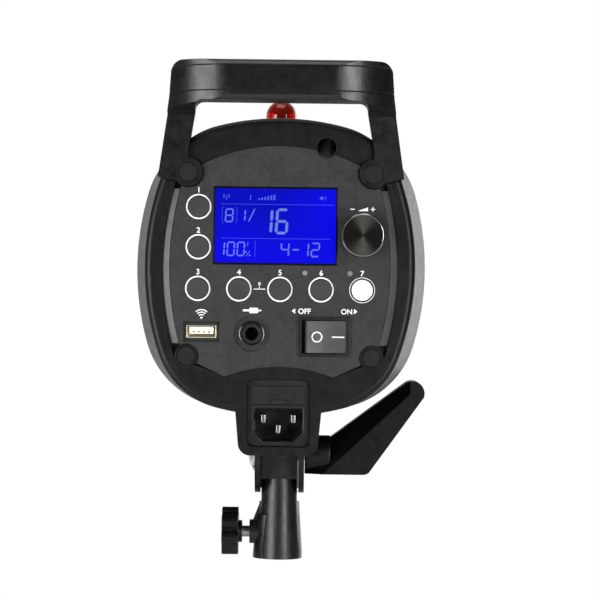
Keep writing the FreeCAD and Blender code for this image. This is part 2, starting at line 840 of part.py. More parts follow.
def pivot_washers():
    """The two friction washers between the knuckle and the yoke's cheeks."""
    thickness = s.yoke_side_gap - s.washer_clearance * 2
    rings = []
    for side in (-1, 1):
        start = side * (s.knuckle_width / 2 + s.yoke_side_gap / 2) - thickness / 2
        rings.append(cut(rod("x", start, 0, 0, s.washer_radius, thickness),
                         rod("x", start - 1, 0, 0, s.pivot_radius + s.running_clearance, thickness + 2)))
    return group(*rings)


def tilt_lever():
    """The hollow moulded lever that tightens the pivot bolt."""
    body = new_body()
    start = YOKE_HALF + s.seat_clearance
    pad(body, Draft("YZ", start, body).circle(0, 0, s.lever_hub_radius), s.lever_hub_length)
    tip_x = s.lever_reach - s.lever_tip_radius
    arm = Draft("XZ", body=body)
    arm.outline(
        (start, -s.lever_bottom), (s.lever_elbow - 1.6, -s.lever_bottom),
        (s.lever_elbow + 1.6, -s.lever_bottom + 1.4, 5.0), (s.lever_reach - 0.6, s.lever_rise - 3.0),
        (tip_x + 1.4, s.lever_rise + 5.6, s.lever_tip_radius + 0.6),
        (tip_x - 4.4, s.lever_rise + 4.2, s.lever_tip_radius),
        (start + s.lever_hub_length, s.lever_hub_radius - 1), (start, s.lever_hub_radius - 1))
    pad(body, arm, s.lever_depth, both_ways=True)
    hollow = Draft("XZ", -s.lever_depth / 2, body)
    hollow.outline(
        (start + s.lever_hub_length + 1, -s.lever_bottom + 9), (s.lever_elbow - 8, -s.lever_bottom + 9.6),
        (tip_x - 2.2, s.lever_rise - 1.0), (tip_x - 4.0, s.lever_rise + 1.0),
        (start + s.lever_hub_length + 1, s.lever_hub_radius - 3.6))
    pocket(body, hollow, s.lever_depth - s.lever_floor)
    pocket(body, Draft("YZ", start, body).circle(0, 0, s.pivot_radius + s.running_clearance / 2),
           s.lever_hub_length - 1.5, backwards=True)
    return body


# ---- head: housing, rear cover and handle, drawn about the head's axis --------------------------


def sleeve(y0, y1, outer=0, inner=None):
    """A length of the housing's section between two stations, hollow when an inner size is given."""
    length = size(y1) - y0
    outside = extrude(case_section(Draft("XZ", y1), outer), length)
    if inner is None:
        return outside
    inside = extrude(case_section(Draft("XZ", size(y1) + 1), inner), length + 2)
    return cut(outside, inside)


def vent_box(side, margin):
    """The block that a vent takes out of the housing's side."""
    far, near = s.case_half_width + 6, s.case_half_width - 25
    x0, x1 = (near, far) if side > 0 else (-far, -near)
    return box(x0, x1, -s.vent_rear + margin, s.vent_front - margin,
               -s.vent_half_height + margin, s.vent_half_height - margin)


def half_space(upper):
    """A block that holds everything above or below the housing's joint."""
    reach = s.case_half_height + 20
    return box(-reach, reach, -s.cover_joint - 1, s.collar_joint + 1,
               0 if upper else -reach, reach if upper else 0)


def housing_upper():
    """The upper half of the housing, with the slave sensor's hole."""
    shell = common(sleeve(-s.cover_joint, s.collar_joint, 0, -s.wall), half_space(True))
    hole = rod("z", s.sensor_x, -SENSOR_DEPTH, s.case_half_height - 12,
               s.sensor_base_radius + 0.1, 20)
    return cut(shell, vent_box(-1, 0), vent_box(1, 0), hole)


def housing_lower():
    """The lower half of the housing, with the yoke's foot and the chassis rails."""
    shell = common(sleeve(-s.cover_joint, s.collar_joint, 0, -s.wall), half_space(False))
    foot_half = s.cheek_top_half + 8
    inside = sleeve(-s.cover_joint, s.collar_joint, -s.wall + 0.5)
    inner_edge = s.chassis_half - s.rail_width
    rails = [common(inside, box(x0, x1, -CHASSIS_REAR, s.collar_joint - 2,
                                -s.case_half_height, -s.chassis_drop - s.chassis_thickness))
             for x0, x1 in ((-s.chassis_half, -inner_edge), (inner_edge, s.chassis_half))]
    foot = box(-20, 20, -foot_half, foot_half, -s.case_half_height - 1, -s.case_half_height + 2)
    screw_holes = [rod("z", 0, side * YOKE_SCREW_REACH, -s.case_half_height - 2,
                       s.screw_radius, 8) for side in (-1, 1)]
    return cut(fuse(shell, foot, *rails), vent_box(-1, 0), vent_box(1, 0), *screw_holes)


def vent_grille(side):
    """A louvred insert that fills one vent."""
    plate = common(sleeve(-s.vent_rear, s.vent_front, -s.vent_inset, -s.wall),
                   vent_box(side, s.seat_clearance / 2))
    slots = []
    span = s.vent_rear + s.vent_front - s.vent_edge * 2
    count = int((span.value - s.vent_slot.value) // s.vent_pitch.value) + 1
    far, near = s.case_half_width + 6, s.case_half_width - 25
    for k in range(count):
        start = -s.vent_rear + s.vent_edge + s.vent_pitch * k
        slots.append(box(near if side > 0 else -far, far if side > 0 else -near, start,
                         start + s.vent_slot, -s.vent_half_height + s.vent_edge,
                         s.vent_half_height - s.vent_edge))
    return cut(plate, *slots)


def vent_grille_left():
    """The left vent grille."""
    return vent_grille(-1)


def vent_grille_right():
    """The right vent grille."""
    return vent_grille(1)


def panel_outline(draft, corner_half, inset=0):
    """Draw the control panel's outline: one crown for every width, bulging sides and an arched foot."""
    top = PANEL_TOP - inset - (crown_drop(corner_half) - crown_drop(s.panel_half))
    low = -s.panel_low + inset
    half = corner_half - inset
    vee = -VEE_DROP + inset
    return draft.outline(
        (half, low), (half, top, s.panel_side_radius), (-half, top, s.panel_top_radius),
        (-half, low, s.panel_side_radius), (-s.panel_vee_half, vee),
        (s.panel_vee_half, vee, -s.panel_arch_radius))


def crown_drop(half):
    """How far the panel's crown has fallen at a distance from its middle."""
    return s.panel_top_radius - root(s.panel_top_radius * s.panel_top_radius - half * half)


def screw_places():
    """The four rear screws: two through the handle's lugs and two below."""
    return [(-SCREW_HALF, SCREW_HIGH), (SCREW_HALF, SCREW_HIGH),
            (-SCREW_HALF, -SCREW_LOW), (SCREW_HALF, -SCREW_LOW)]


def inlet_plate(draft, gap):
    """Draw the mains inlet's plate with its round corners, smaller by a gap all round."""
    wide, tall, curve = s.inlet_width / 2 - gap, s.inlet_height / 2 - gap, s.inlet_round - gap
    low, high = -INLET_DROP - tall, -INLET_DROP + tall
    return draft.outline(
        (-wide + curve, low, curve), (wide - curve, low), (wide, low + curve, curve), (wide, high - curve),
        (wide - curve, high, curve), (-wide + curve, high), (-wide, high - curve, curve),
        (-wide, low + curve))


def arm_outline(draft, side, grow=0):
    """Draw the strap of one handle arm where it lies on the rear cover."""
    outer, inner = ARM_OUTER + grow, SCREW_HALF - grow
    points = [(outer, ARM_LOW - grow), (s.grip_half + 0.8 + grow, GRIP_UNDER + 2),
              (s.grip_half - 12 - grow, GRIP_UNDER + 2), (inner, ARM_LOW + 14),
              (inner, ARM_LOW + 1.4), (SCREW_HALF + 3.5, ARM_LOW - 2.4 - grow)]
    points = [(x * side, z) for x, z in points]
    return draft.outline(*(points if side > 0 else points[::-1]))


def rear_cover():
    """The tapering rear cover with the inlet tongue, the panel's seat and four screw posts."""
    body = new_body()
    joint, shoulder, back = -s.cover_joint, -SHOULDER_DEPTH, -s.rear_depth
    loft(body, "AdditiveLoft", case_section(Draft("XZ", joint, body)),
         rear_section(Draft("XZ", shoulder, body)))
    pad(body, rear_section(Draft("XZ", shoulder, body)), s.rear_depth - SHOULDER_DEPTH)
    round_back_edges(body)
    tongue = Draft("XZ", -s.tongue_front, body)
    half_foot, half_top, foot, curve = TONGUE_FOOT_HALF, TONGUE_TOP_HALF, -TONGUE_FOOT, s.tongue_round
    tongue.outline((-half_foot + curve, foot, curve), (half_foot - curve, foot),
                   (half_foot, foot + curve, curve), (half_top, -INLET_DROP + 6),
                   (half_top, -VEE_DROP), (-half_top, -VEE_DROP),
                   (-half_top, -INLET_DROP + 6), (-half_foot, foot + curve))
    pad(body, tongue, s.rear_depth - s.tongue_front)
    loft(body, "SubtractiveLoft", case_section(Draft("XZ", joint + 0.01, body), -s.wall),
         rear_section(Draft("XZ", shoulder, body), -s.wall))
    pocket(body, rear_section(Draft("XZ", back + s.wall + 1, body), -s.wall),
           s.rear_depth - SHOULDER_DEPTH - s.wall - 0.9)
    block = Draft("XZ", back + s.wall, body)
    rectangle(block, -s.inlet_width / 2 - 3, s.inlet_width / 2 + 3,
              -INLET_DROP - s.inlet_height / 2 - 1, -INLET_DROP + s.inlet_height / 2 + 3)
    pad(body, block, s.inlet_length + 2, backwards=True)
    pocket(body, panel_outline(Draft("XZ", back, body), s.panel_half, s.ledge), s.wall + 2)
    for x, z in screw_places():
        top = back + s.panel_thickness - s.panel_proud if z.value > 0 else back - 0.5
        post = Draft("XZ", joint - 4, body).circle(x, z, s.post_radius)
        pad(body, post, joint - 4 - top)
    depth = s.panel_thickness - s.panel_proud + 1
    pocket(body, panel_outline(Draft("XZ", back - 1, body), s.panel_half + s.groove_width), depth)
    for x, z in screw_places()[2:]:
        pad(body, Draft("XZ", back + s.wall, body).circle(x, z, s.post_radius), s.wall + 0.5)
    for side in (-1, 1):
        pocket(body, arm_outline(Draft("XZ", back - 1, body), side, s.seat_clearance), depth)
    lugs = Draft("XZ", back - 1, body)
    for x, z in screw_places()[:2]:
        lugs.circle(x, z, s.handle_lug_radius + s.seat_clearance)
    pocket(body, lugs, depth)
    pocket(body, Draft("XZ", back - 1, body).circle(
        s.umbrella_x, UMBRELLA_Z, s.umbrella_bore + s.umbrella_wall + 0.1), s.wall + 4)
    inlet = Draft("XZ", back - 1, body)
    inlet_plate(inlet, 0)
    pocket(body, inlet, s.inlet_length + 1)
    bores = Draft("XZ", back - 1, body)
    for x, z in screw_places():
        bores.circle(x, z, s.screw_radius + 0.1)
    pocket(body, bores, s.screw_length + 14)
    wells = Draft("XZ", back - 1, body)
    for x, z in screw_places()[2:]:
        wells.circle(x, z, s.cap_radius + 0.1)
    pocket(body, wells, s.screw_head_height + s.cap_height + 1)
    return body


def round_back_edges(body):
    """Round the outer edge of the rear cover's back face."""
    doc.recompute()
    back = -s.rear_depth.value
    names = []
    for index, edge in enumerate(body.Shape.Edges, start=1):
        if all(abs(vertex.Y - back) < 1e-6 for vertex in edge.Vertexes):
            names.append("Edge%d" % index)
    base = body.Tip
    fillet = body.newObject("PartDesign::Fillet", "BackEdge")
    fillet.Base = (base, names)
    bind(fillet, "Radius", s.rear_edge_round)


def handle_front(draft):
    """Draw the handle as seen from behind: two arms that lean in, and a grip across their tops."""
    end, crown, curve = s.grip_half, GRIP_TOP, s.grip_end_round
    under, inner = GRIP_UNDER, s.grip_half - 12
    knee = ARM_LOW + 14
    outside = [(ARM_OUTER, ARM_LOW), (end + 0.8, under + 2), (end, crown - curve)]
    inside = [(SCREW_HALF + 3.5, ARM_LOW - 2.4), (SCREW_HALF, ARM_LOW + 1.4), (SCREW_HALF, knee),
              (inner, under - 4)]
    mirror = [(-x, z) for x, z in inside]
    return draft.outline(
        *outside, (end - curve, crown, curve), (-end + curve, crown), (-end, crown - curve, curve),
        *[(-x, z) for x, z in outside[1::-1]], *mirror, (-inner + 4, under, -4), (inner - 4, under),
        (inner, under - 4, -4), *inside[2::-1])


def handle_side(draft):
    """Draw the handle as seen from the side: flat on the cover, then leaning back to the grip."""
    seat = PANEL_BACK
    face = seat - s.arm_thickness
    rear = -s.rear_depth - s.grip_back
    near = rear + s.grip_depth
    under, top, corner = GRIP_UNDER, GRIP_TOP + 0.1, s.grip_edge_round
    return draft.outline(
        (seat, ARM_LOW - 6), (seat, under - 16), (near, under - 1), (near, top - corner),
        (near - corner, top, corner), (rear + corner, top), (rear, top - corner, corner),
        (rear, under + 4), (rear + 2.5, under - 0.5, 4.2), (face, under - 6), (face, ARM_LOW - 6))


def handle_plan(draft):
    """Draw the handle as seen from above: a grip that bows forwards towards both of its ends."""
    rear = -s.rear_depth - s.grip_back
    reach = s.grip_flat_half + s.grip_bow_radius * sine(s.grip_bow_turn)
    bend = rear + s.grip_bow_radius * (1 - cosine(s.grip_bow_turn))
    wide, front = s.case_half_width, -s.rear_depth + 20
    return draft.outline(
        (-wide, bend), (-reach, bend), (-s.grip_flat_half, rear, s.grip_bow_radius),
        (s.grip_flat_half, rear), (reach, bend, s.grip_bow_radius), (wide, bend), (wide, front),
        (-wide, front))


def handle():
    """The moulded handle: two arms from the lugs and a thick grip that leans back."""
    front = extrude(handle_front(Draft("XZ", -s.rear_depth + 20)), s.grip_back + 30)
    side = extrude(handle_side(Draft("YZ", -s.case_half_width)), s.case_half_width * 2)
    plan = extrude(handle_plan(Draft("XY", ARM_LOW - 10)), GRIP_TOP + 20 - ARM_LOW)
    face = PANEL_BACK - s.arm_thickness
    places = screw_places()[:2]
    lugs = [rod("y", x, face, z, s.handle_lug_radius, s.arm_thickness) for x, z in places]
    wells = [rod("y", x, face - 1, z, s.cap_radius + 0.1, s.screw_head_height + s.cap_height + 1)
             for x, z in places]
    bores = [rod("y", x, face - 1, z, s.screw_radius + 0.1, s.arm_thickness + 2) for x, z in places]
    return cut(fuse(common(front, side, plan), *lugs), *wells, *bores)


def screw_tops():
    """Where the bottom of each screw head's well lies, for the four rear screws."""
    lug_face = PANEL_BACK - s.arm_thickness
    well = s.screw_head_height + s.cap_height
    low_face = -s.rear_depth
    return [(x, z, (lug_face if z.value > 0 else low_face) + well) for x, z in screw_places()]


def case_screws():
    """The four rear screws."""
    screws = []
    for x, z, seat in screw_tops():
        head = rod("y", x, seat - s.screw_head_height, z, s.screw_head_radius, s.screw_head_height)
        screws.append(fuse(head, rod("y", x, seat, z, s.screw_radius, s.screw_length)))
    return group(*screws)


def screw_caps():
    """The rubber caps that hide the four rear screws."""
    caps = []
    for x, z, seat in screw_tops():
        start = seat - s.screw_head_height - s.cap_height
        caps.append(rod("y", x, start, z, s.cap_radius, s.cap_height))
    return group(*caps)


def control_panel():
    """The control panel, with every opening that its controls need."""
    body = new_body()
    back = -s.rear_depth + s.panel_thickness - s.panel_proud
    face = back - s.panel_thickness
    pad(body, panel_outline(Draft("XZ", back, body), s.panel_half), s.panel_thickness)
    posts = Draft("XZ", back + s.board_gap, body)
    for x, z in board_posts():
        posts.circle(x, z, 2.0)
    pad(body, posts, s.board_gap + 0.5)
    window = Draft("XZ", face, body)
    half_width, half_height = WINDOW_WIDTH / 2, s.window_height / 2
    rectangle(window, WINDOW_X - half_width, WINDOW_X + half_width,
              s.window_z - half_height, s.window_z + half_height)
    pocket(body, window, s.window_thickness + 0.2)
    border = s.window_border
    view = Draft("XZ", face, body)
    rectangle(view, WINDOW_X - half_width + border, WINDOW_X + half_width - border,
              s.window_z - half_height + border, s.window_z + half_height - border)
    pocket(body, view, s.panel_thickness + 1)
    holes = Draft("XZ", face - 1, body)
    for x, z in key_places():
        holes.circle(x, z, s.key_radius + s.key_gap)
    for x in led_places():
        holes.circle(x, -s.led_drop, s.led_radius + 0.05)
    holes.circle(DIAL_X, s.dial_z, s.dial_bush_radius + 0.1)
    holes.circle(s.jack_x, JACK_Z, s.jack_bush_radius + 0.1)
    half_usb, half_high = s.usb_width / 2 + 0.2, s.usb_height / 2 + 0.2
    rectangle(holes, USB_X - half_usb, USB_X + half_usb, USB_Z - half_high, USB_Z + half_high)
    half_switch, half_tall = SWITCH_WIDTH / 2 - 0.4, SWITCH_HEIGHT / 2 - 0.4
    rectangle(holes, SWITCH_X - half_switch, SWITCH_X + half_switch,
              SWITCH_Z - half_tall, SWITCH_Z + half_tall)
    pocket(body, holes, s.panel_thickness + 2)
    recesses = Draft("XZ", face - 1, body)
    recesses.circle(s.jack_x, JACK_Z, s.jack_recess_radius)
    half_usb, half_high = USB_RECESS_WIDTH / 2, USB_RECESS_HEIGHT / 2
    rectangle(recesses, USB_X - half_usb, USB_X + half_usb, USB_Z - half_high, USB_Z + half_high)
    pocket(body, recesses, 2)
    notches = Draft("XZ", face - 1, body)
    for x, z in screw_places():
        notches.circle(x, z, (s.handle_lug_radius if z.value > 0 else s.post_radius) + s.seat_clearance)
    pocket(body, notches, s.panel_thickness + 2)
    pocket(body, Draft("XZ", face - 1, body).circle(
        s.umbrella_x, UMBRELLA_Z, s.umbrella_bore + s.umbrella_wall + 0.1), s.panel_thickness + 2)
    return body


def board_posts():
    """The panel's four posts that carry the control board."""
    return [(KEY_LEFT - 5.8, (KEY_UPPER + KEY_MIDDLE) / 2), (DIAL_X + 3.9, s.dial_z + 11.2),
            (KEY_LEFT + KEY_PITCH / 2, s.key_row - 6), (KEY_LEFT + KEY_PITCH * 3.5, s.key_row - 6)]


# ---- controls on the panel -----------------------------------------------------------------------


def key_places():
    """The seven keys: three down the left side, then along the row under the display."""
    column = [(KEY_LEFT, KEY_UPPER), (KEY_LEFT, KEY_MIDDLE)]
    row = [(KEY_LEFT + KEY_PITCH * k, s.key_row) for k in range(5)]
    return column + row


def led_places():
    """Where the two indicators stand along the panel."""
    return [KEY_LEFT + KEY_PITCH * 3 - 8, KEY_LEFT + KEY_PITCH * 4 - 6]


def key(index):
    """One push key: a round cap and a flange that keeps it in the panel."""
    x, z = key_places()[index]
    front = PANEL_FACE - s.key_proud
    flange = PANEL_BACK + 0.1
    stem = rod("y", x, front, z, s.key_radius, flange + 2.6 - front)
    rim = rod("y", x, flange, z, KEY_FLANGE, 1.4)
    return fuse(stem, rim)


def button_receiver():
    """The top key of the left column."""
    return key(0)


def button_group():
    """The middle key of the left column."""
    return key(1)


def button_mode():
    """The corner key, first of the lower row."""
    return key(2)


def button_slave():
    """The second key of the lower row."""
    return key(3)


def button_beep():
    """The third key of the lower row."""
    return key(4)


def button_lamp():
    """The fourth key of the lower row."""
    return key(5)


def button_test():
    """The last key of the lower row, which fires the flash."""
    return key(6)


def control_board():
    """The control board, with a push switch behind each key."""
    front = BOARD_FRONT
    back = front + s.board_thickness
    half = s.panel_half + 3
    main = box(-half, half, front, back, s.key_row - 8.5, SCREW_HIGH - 8)
    leg = box(-half + 2, USB_X + 12, front, back, USB_Z - 5, s.key_row)
    switches = []
    for x, z in key_places():
        top = PANEL_BACK + 2.7 + s.key_travel + 0.1
        switches.append(box(x - 3, x + 3, top, front + 0.2, z - 3, z + 3))
    return fuse(main, leg, *switches)


def indicator_leds():
    """Two round indicators that stand on the board."""
    start = PANEL_FACE - 0.1
    return group(*[rod("y", x, start, -s.led_drop, s.led_radius, BOARD_FRONT - start)
                   for x in led_places()])


def lcd_window():
    """The clear window over the display."""
    half_width, half_height = WINDOW_WIDTH / 2 - 0.15, s.window_height / 2 - 0.15
    start = PANEL_FACE + 0.2
    return box(WINDOW_X - half_width, WINDOW_X + half_width, start, start + s.window_thickness,
               s.window_z - half_height, s.window_z + half_height)


def lcd_module():
    """The display module between the panel and the board."""
    half_width, half_height = WINDOW_WIDTH / 2 - 1, s.window_height / 2 - 1
    return box(WINDOW_X - half_width, WINDOW_X + half_width, PANEL_BACK + 0.2, BOARD_FRONT,
               s.window_z - half_height, s.window_z + half_height)


def encoder_body():
    """The rotary encoder's body and threaded bush, fixed on the board."""
    half = s.encoder_size / 2
    front = BOARD_FRONT - 6.5
    case = box(DIAL_X - half, DIAL_X + half, front, BOARD_FRONT, s.dial_z - half, s.dial_z + half)
    bush = rod("y", DIAL_X, PANEL_FACE - 0.6, s.dial_z, s.dial_bush_radius,
               front - PANEL_FACE + 0.8)
    bore = rod("y", DIAL_X, PANEL_FACE - 2, s.dial_z, s.dial_shaft_radius + s.running_clearance,
               BOARD_FRONT - 0.8 - PANEL_FACE + 2)
    return cut(fuse(case, bush), bore)


def plunger_front():
    """Where the encoder's shaft meets its push plunger."""
    return BOARD_FRONT - 0.8 - s.dial_travel - 1.5


def encoder_plunger():
    """The push plunger at the foot of the encoder."""
    return rod("y", DIAL_X, plunger_front(), s.dial_z, s.dial_shaft_radius - 0.1, 1.4)


def encoder_shaft():
    """The encoder's shaft."""
    start = PANEL_FACE - s.dial_lift - s.dial_height + 2
    return rod("y", DIAL_X, start, s.dial_z, s.dial_shaft_radius,
               plunger_front() - s.running_clearance - start)


def set_knob():
    """The large dial pressed on the encoder's shaft."""
    start = PANEL_FACE - s.dial_lift - s.dial_height
    knob = rod("y", DIAL_X, start, s.dial_z, s.dial_radius, s.dial_height)
    bore = rod("y", DIAL_X, start + 2, s.dial_z, s.dial_shaft_radius, s.dial_height)
    skirt = rod("y", DIAL_X, start + s.dial_height - 3, s.dial_z, s.dial_bush_radius + 1.4, 4)
    return cut(knob, bore, skirt)


def usb_port():
    """The receiver port's metal shell with its contact tongue."""
    half, high = s.usb_width / 2, s.usb_height / 2
    front, back = PANEL_FACE + 0.8, BOARD_FRONT
    shell = box(USB_X - half, USB_X + half, front, back, USB_Z - high, USB_Z + high)
    hollow = box(USB_X - half + 0.4, USB_X + half - 0.4, front - 1, back - 1,
                 USB_Z - high + 0.4, USB_Z + high - 0.4)
    tongue = box(USB_X - half + 1.2, USB_X + half - 1.2, front + 1.2, back - 0.5,
                 USB_Z + 0.2, USB_Z + high - 1)
    return fuse(cut(shell, hollow), tongue)


def sync_jack():
    """The sync socket: a threaded bush through the panel and a box behind it."""
    bush = rod("y", s.jack_x, PANEL_FACE - 0.5, JACK_Z, s.jack_bush_radius, s.panel_thickness + 1)
    half = s.jack_recess_radius - 1
    case = box(s.jack_x - half, s.jack_x + half, PANEL_BACK, PANEL_BACK + s.jack_depth,
               JACK_Z - half, JACK_Z + half)
    bore = rod("y", s.jack_x, PANEL_FACE - 1, JACK_Z, s.jack_bore_radius, s.jack_depth)
    return cut(fuse(bush, case), bore)


def jack_nut():
    """The round nut that holds the sync socket."""
    start = PANEL_FACE - 0.9
    length = 1.9
    nut = rod("y", s.jack_x, start, JACK_Z, s.jack_nut_radius, length)
    return cut(nut, rod("y", s.jack_x, start - 1, JACK_Z, s.jack_bush_radius + 0.05, length + 2))


def switch_frame():
    """The mains switch's frame and body."""
    half, high = SWITCH_WIDTH / 2, SWITCH_HEIGHT / 2
    face = PANEL_FACE
    lip = box(SWITCH_X - half, SWITCH_X + half, face - s.switch_lip, face,
              SWITCH_Z - high, SWITCH_Z + high)
    shell = box(SWITCH_X - half + 0.5, SWITCH_X + half - 0.5, face - 0.2, face + s.switch_depth,
                SWITCH_Z - high + 0.5, SWITCH_Z + high - 0.5)
    mouth_half, mouth_high = rocker_mouth(), s.rocker_height / 2 + 0.3
    mouth = box(SWITCH_X - mouth_half, SWITCH_X + mouth_half, face - 2, face + s.rocker_pivot_depth + 4,
                SWITCH_Z - mouth_high, SWITCH_Z + mouth_high)
    belly = box(SWITCH_X - mouth_half - 0.9, SWITCH_X + mouth_half + 0.9, face + 0.4,
                face + s.rocker_pivot_depth + 4, SWITCH_Z - mouth_high, SWITCH_Z + mouth_high)
    pin_hole = rod("z", SWITCH_X, ROCKER_PIVOT, SWITCH_Z - high + 0.7,
                   s.rocker_pin_radius + s.running_clearance, SWITCH_HEIGHT - 1.4)
    return cut(fuse(lip, shell), mouth, belly, pin_hole)


def rocker_mouth():
    """Half the width of the frame's mouth, just wider than the rocker's swing."""
    return s.rocker_half + 1.35


def switch_rocker():
    """The rocker, drawn level about its pins and then tipped to its on side."""
    valley = -s.rocker_pivot_depth
    horn = valley - s.rocker_half * (sine(s.rocker_swing) / cosine(s.rocker_swing))
    profile = Draft("XY", s.rocker_height / -2)
    profile.outline((0, valley), (s.rocker_half, horn), (s.rocker_half + 0.5, horn + 1.6),
                    (s.rocker_half - 2.5, 0.5), (-s.rocker_half + 2.5, 0.5),
                    (-s.rocker_half - 0.5, horn + 1.6), (-s.rocker_half, horn))
    block = extrude(profile, s.rocker_height)
    pin_reach = SWITCH_HEIGHT / 2 - 0.8
    pins = rod("z", 0, 0, -pin_reach, s.rocker_pin_radius, pin_reach * 2)
    rocker = fuse(block, pins)
    bind(rocker, ".Placement.Rotation.Angle", s.rocker_swing)
    return put(rocker, SWITCH_X, ROCKER_PIVOT, SWITCH_Z + HEAD_RISE + s.pivot_height)


# ---- mains inlet ---------------------------------------------------------------------------------


def inlet_body():
    """The moulded mains inlet with its fuse slot."""
    face = INLET_FACE
    depth = s.inlet_length - s.inlet_recess
    block = extrude(inlet_plate(Draft("XZ", face + depth), 0.1), depth)
    wide, tall, bevel = s.cavity_width / 2, s.cavity_height / 2, s.cavity_chamfer
    mouth = Draft("XZ", face + s.cavity_depth)
    mouth.outline((-wide, -CAVITY_DROP - tall + bevel), (-wide + bevel, -CAVITY_DROP - tall),
                  (wide - bevel, -CAVITY_DROP - tall), (wide, -CAVITY_DROP - tall + bevel),
                  (wide, -CAVITY_DROP + tall), (-wide, -CAVITY_DROP + tall))
    cavity = extrude(mouth, s.cavity_depth + 1)
    slot = box(-s.fuse_width / 2 - 0.1, s.fuse_width / 2 + 0.1, face - 1, face + s.fuse_depth + 0.1,
               -FUSE_DROP - s.fuse_height / 2 - 0.1, -FUSE_DROP + s.fuse_height / 2 + 0.1)
    return cut(block, cavity, slot, *[pin_block(x, z, 0) for x, z in pin_places()])


def pin_places():
    """The line, neutral and earth pins."""
    upper = -CAVITY_DROP + 2.9
    return [(-s.pin_spread, upper), (s.pin_spread, upper), (0, -CAVITY_DROP - 2.2)]


def pin_block(x, z, shrink):
    """One flat pin, from inside the moulding out into the cavity."""
    floor = INLET_FACE + s.cavity_depth
    return box(x - 1 + shrink, x + 1 - shrink, floor - s.pin_length, floor + 5,
               z - 2 + shrink, z + 2 - shrink)


def inlet_pins():
    """The three flat pins of the mains inlet."""
    return group(*[pin_block(x, z, 0) for x, z in pin_places()])


def fuse_drawer():
    """The drawer that holds the mains fuse, with a finger tab under its face."""
    face = INLET_FACE
    half, high = s.fuse_width / 2, s.fuse_height / 2
    drawer = box(-half, half, face - 0.4, face + s.fuse_depth, -FUSE_DROP - high, -FUSE_DROP + high)
    tray = box(-half + 1.5, half - 1.5, face + 6, face + s.fuse_depth - 2,
               -FUSE_DROP - s.fuse_radius - 0.3, -FUSE_DROP + high + 1)
    tab = box(-3, 3, face - 1.6, face - 0.3, -FUSE_DROP - high + 0.4, -FUSE_DROP - high + 2.2)
    return cut(fuse(drawer, tab), tray)


def fuse_link():
    """The glass fuse lying in its drawer."""
    reach = s.fuse_width / 2 - 1.7
    return rod("x", -reach, INLET_FACE + 12, -FUSE_DROP - 0.2, s.fuse_radius, reach * 2)


# ---- umbrella tube and slave sensor --------------------------------------------------------------


def umbrella_tube():
    """The tube that takes an umbrella's shaft right through the head."""
    start, end = -s.rear_depth - 0.8, RING_JOINT + s.ring_flange
    tube = rod("y", s.umbrella_x, start, UMBRELLA_Z, s.umbrella_bore + s.umbrella_wall, end - start)
    return cut(tube, rod("y", s.umbrella_x, start - 1, UMBRELLA_Z, s.umbrella_bore, end - start + 2))


def sensor_base():
    """The collar that holds the slave sensor in the housing's top."""
    low, high = s.case_half_height - 5, s.case_half_height + 1
    return cut(rod("z", s.sensor_x, -SENSOR_DEPTH, low, s.sensor_base_radius, high - low),
               rod("z", s.sensor_x, -SENSOR_DEPTH, low - 1, s.sensor_radius - 1.5, 4))


def sensor_dome():
    """The red dome over the slave sensor."""
    low = s.case_half_height + 1
    stem = SENSOR_TOP - s.sensor_radius
    return fuse(rod("z", s.sensor_x, -SENSOR_DEPTH, low, s.sensor_radius, stem - low),
                dome(s.sensor_x, -SENSOR_DEPTH, stem, s.sensor_radius))


# ---- inside the housing --------------------------------------------------------------------------


def chassis_plate():
    """The sheet steel chassis: a plate on the housing's rails and the upright bulkhead at its front."""
    top = -s.chassis_drop
    plate = box(-s.chassis_half, s.chassis_half, -CHASSIS_REAR, CHASSIS_FRONT + 1,
                top - s.chassis_thickness, top)
    posts = [rod("z", x, y, top - 0.5, 2.5, POWER_BOARD_HEIGHT + 0.5)
             for x in (-s.chassis_half + 4, s.chassis_half - 4)
             for y in power_board_stations()]
    return fuse(plate, bulkhead(), *posts)


def bulkhead():
    """The chassis's upright front, which fills the collar and carries the dish, tube and lamp."""
    fit = s.wall + s.running_clearance
    reach = s.case_half_height + 20
    inside = new_body()
    loft(inside, "AdditiveLoft", case_section(Draft("XZ", s.collar_joint, inside), -fit),
         round_section(Draft("XZ", RING_JOINT, inside), s.collar_radius - fit))
    upright = common(inside, box(-reach, reach, CHASSIS_FRONT, BULKHEAD_FRONT, -reach, reach))
    rear, depth = CHASSIS_FRONT - 1, s.bulkhead_thickness + 2
    lamp_hole = rod("y", 0, rear, 0, LAMP_BARREL + 0.2, depth)
    shaft_hole = rod("y", s.umbrella_x, rear, UMBRELLA_Z, s.umbrella_bore + s.umbrella_wall + 0.1, depth)
    return cut(upright, lamp_hole, shaft_hole)


def power_board_stations():
    """The stations of the posts before and behind the capacitors."""
    return (-s.capacitor_rear - s.board_post_reach,
            s.capacitor_length - s.capacitor_rear + s.board_post_reach)


def capacitors():
    """Three storage capacitors lying side by side on the chassis."""
    pitch = s.capacitor_radius * 2 + 0.6
    centre = -s.chassis_drop + s.capacitor_radius + 0.2
    return group(*[rod("y", pitch * k, -s.capacitor_rear, centre, s.capacitor_radius, s.capacitor_length)
                   for k in (-1, 0, 1)])


def power_board():
    """The power board on the chassis posts."""
    low = -s.chassis_drop + POWER_BOARD_HEIGHT
    rear, front = power_board_stations()
    return box(-s.chassis_half, s.chassis_half, rear - 3.5, front + 3.5, low, low + s.board_thickness)


def transformer():
    """The wound transformer on the power board."""
    low = -s.chassis_drop + POWER_BOARD_HEIGHT + s.board_thickness
    half = s.transformer_size / 2
    core = box(-half, half, 0, s.transformer_size * 0.8, low, low + s.transformer_size * 0.7)
    coil = box(-half - 4, half + 4, 6, s.transformer_size * 0.8 - 6, low + 5,
               low + s.transformer_size * 0.7 - 5)
    return fuse(core, coil)


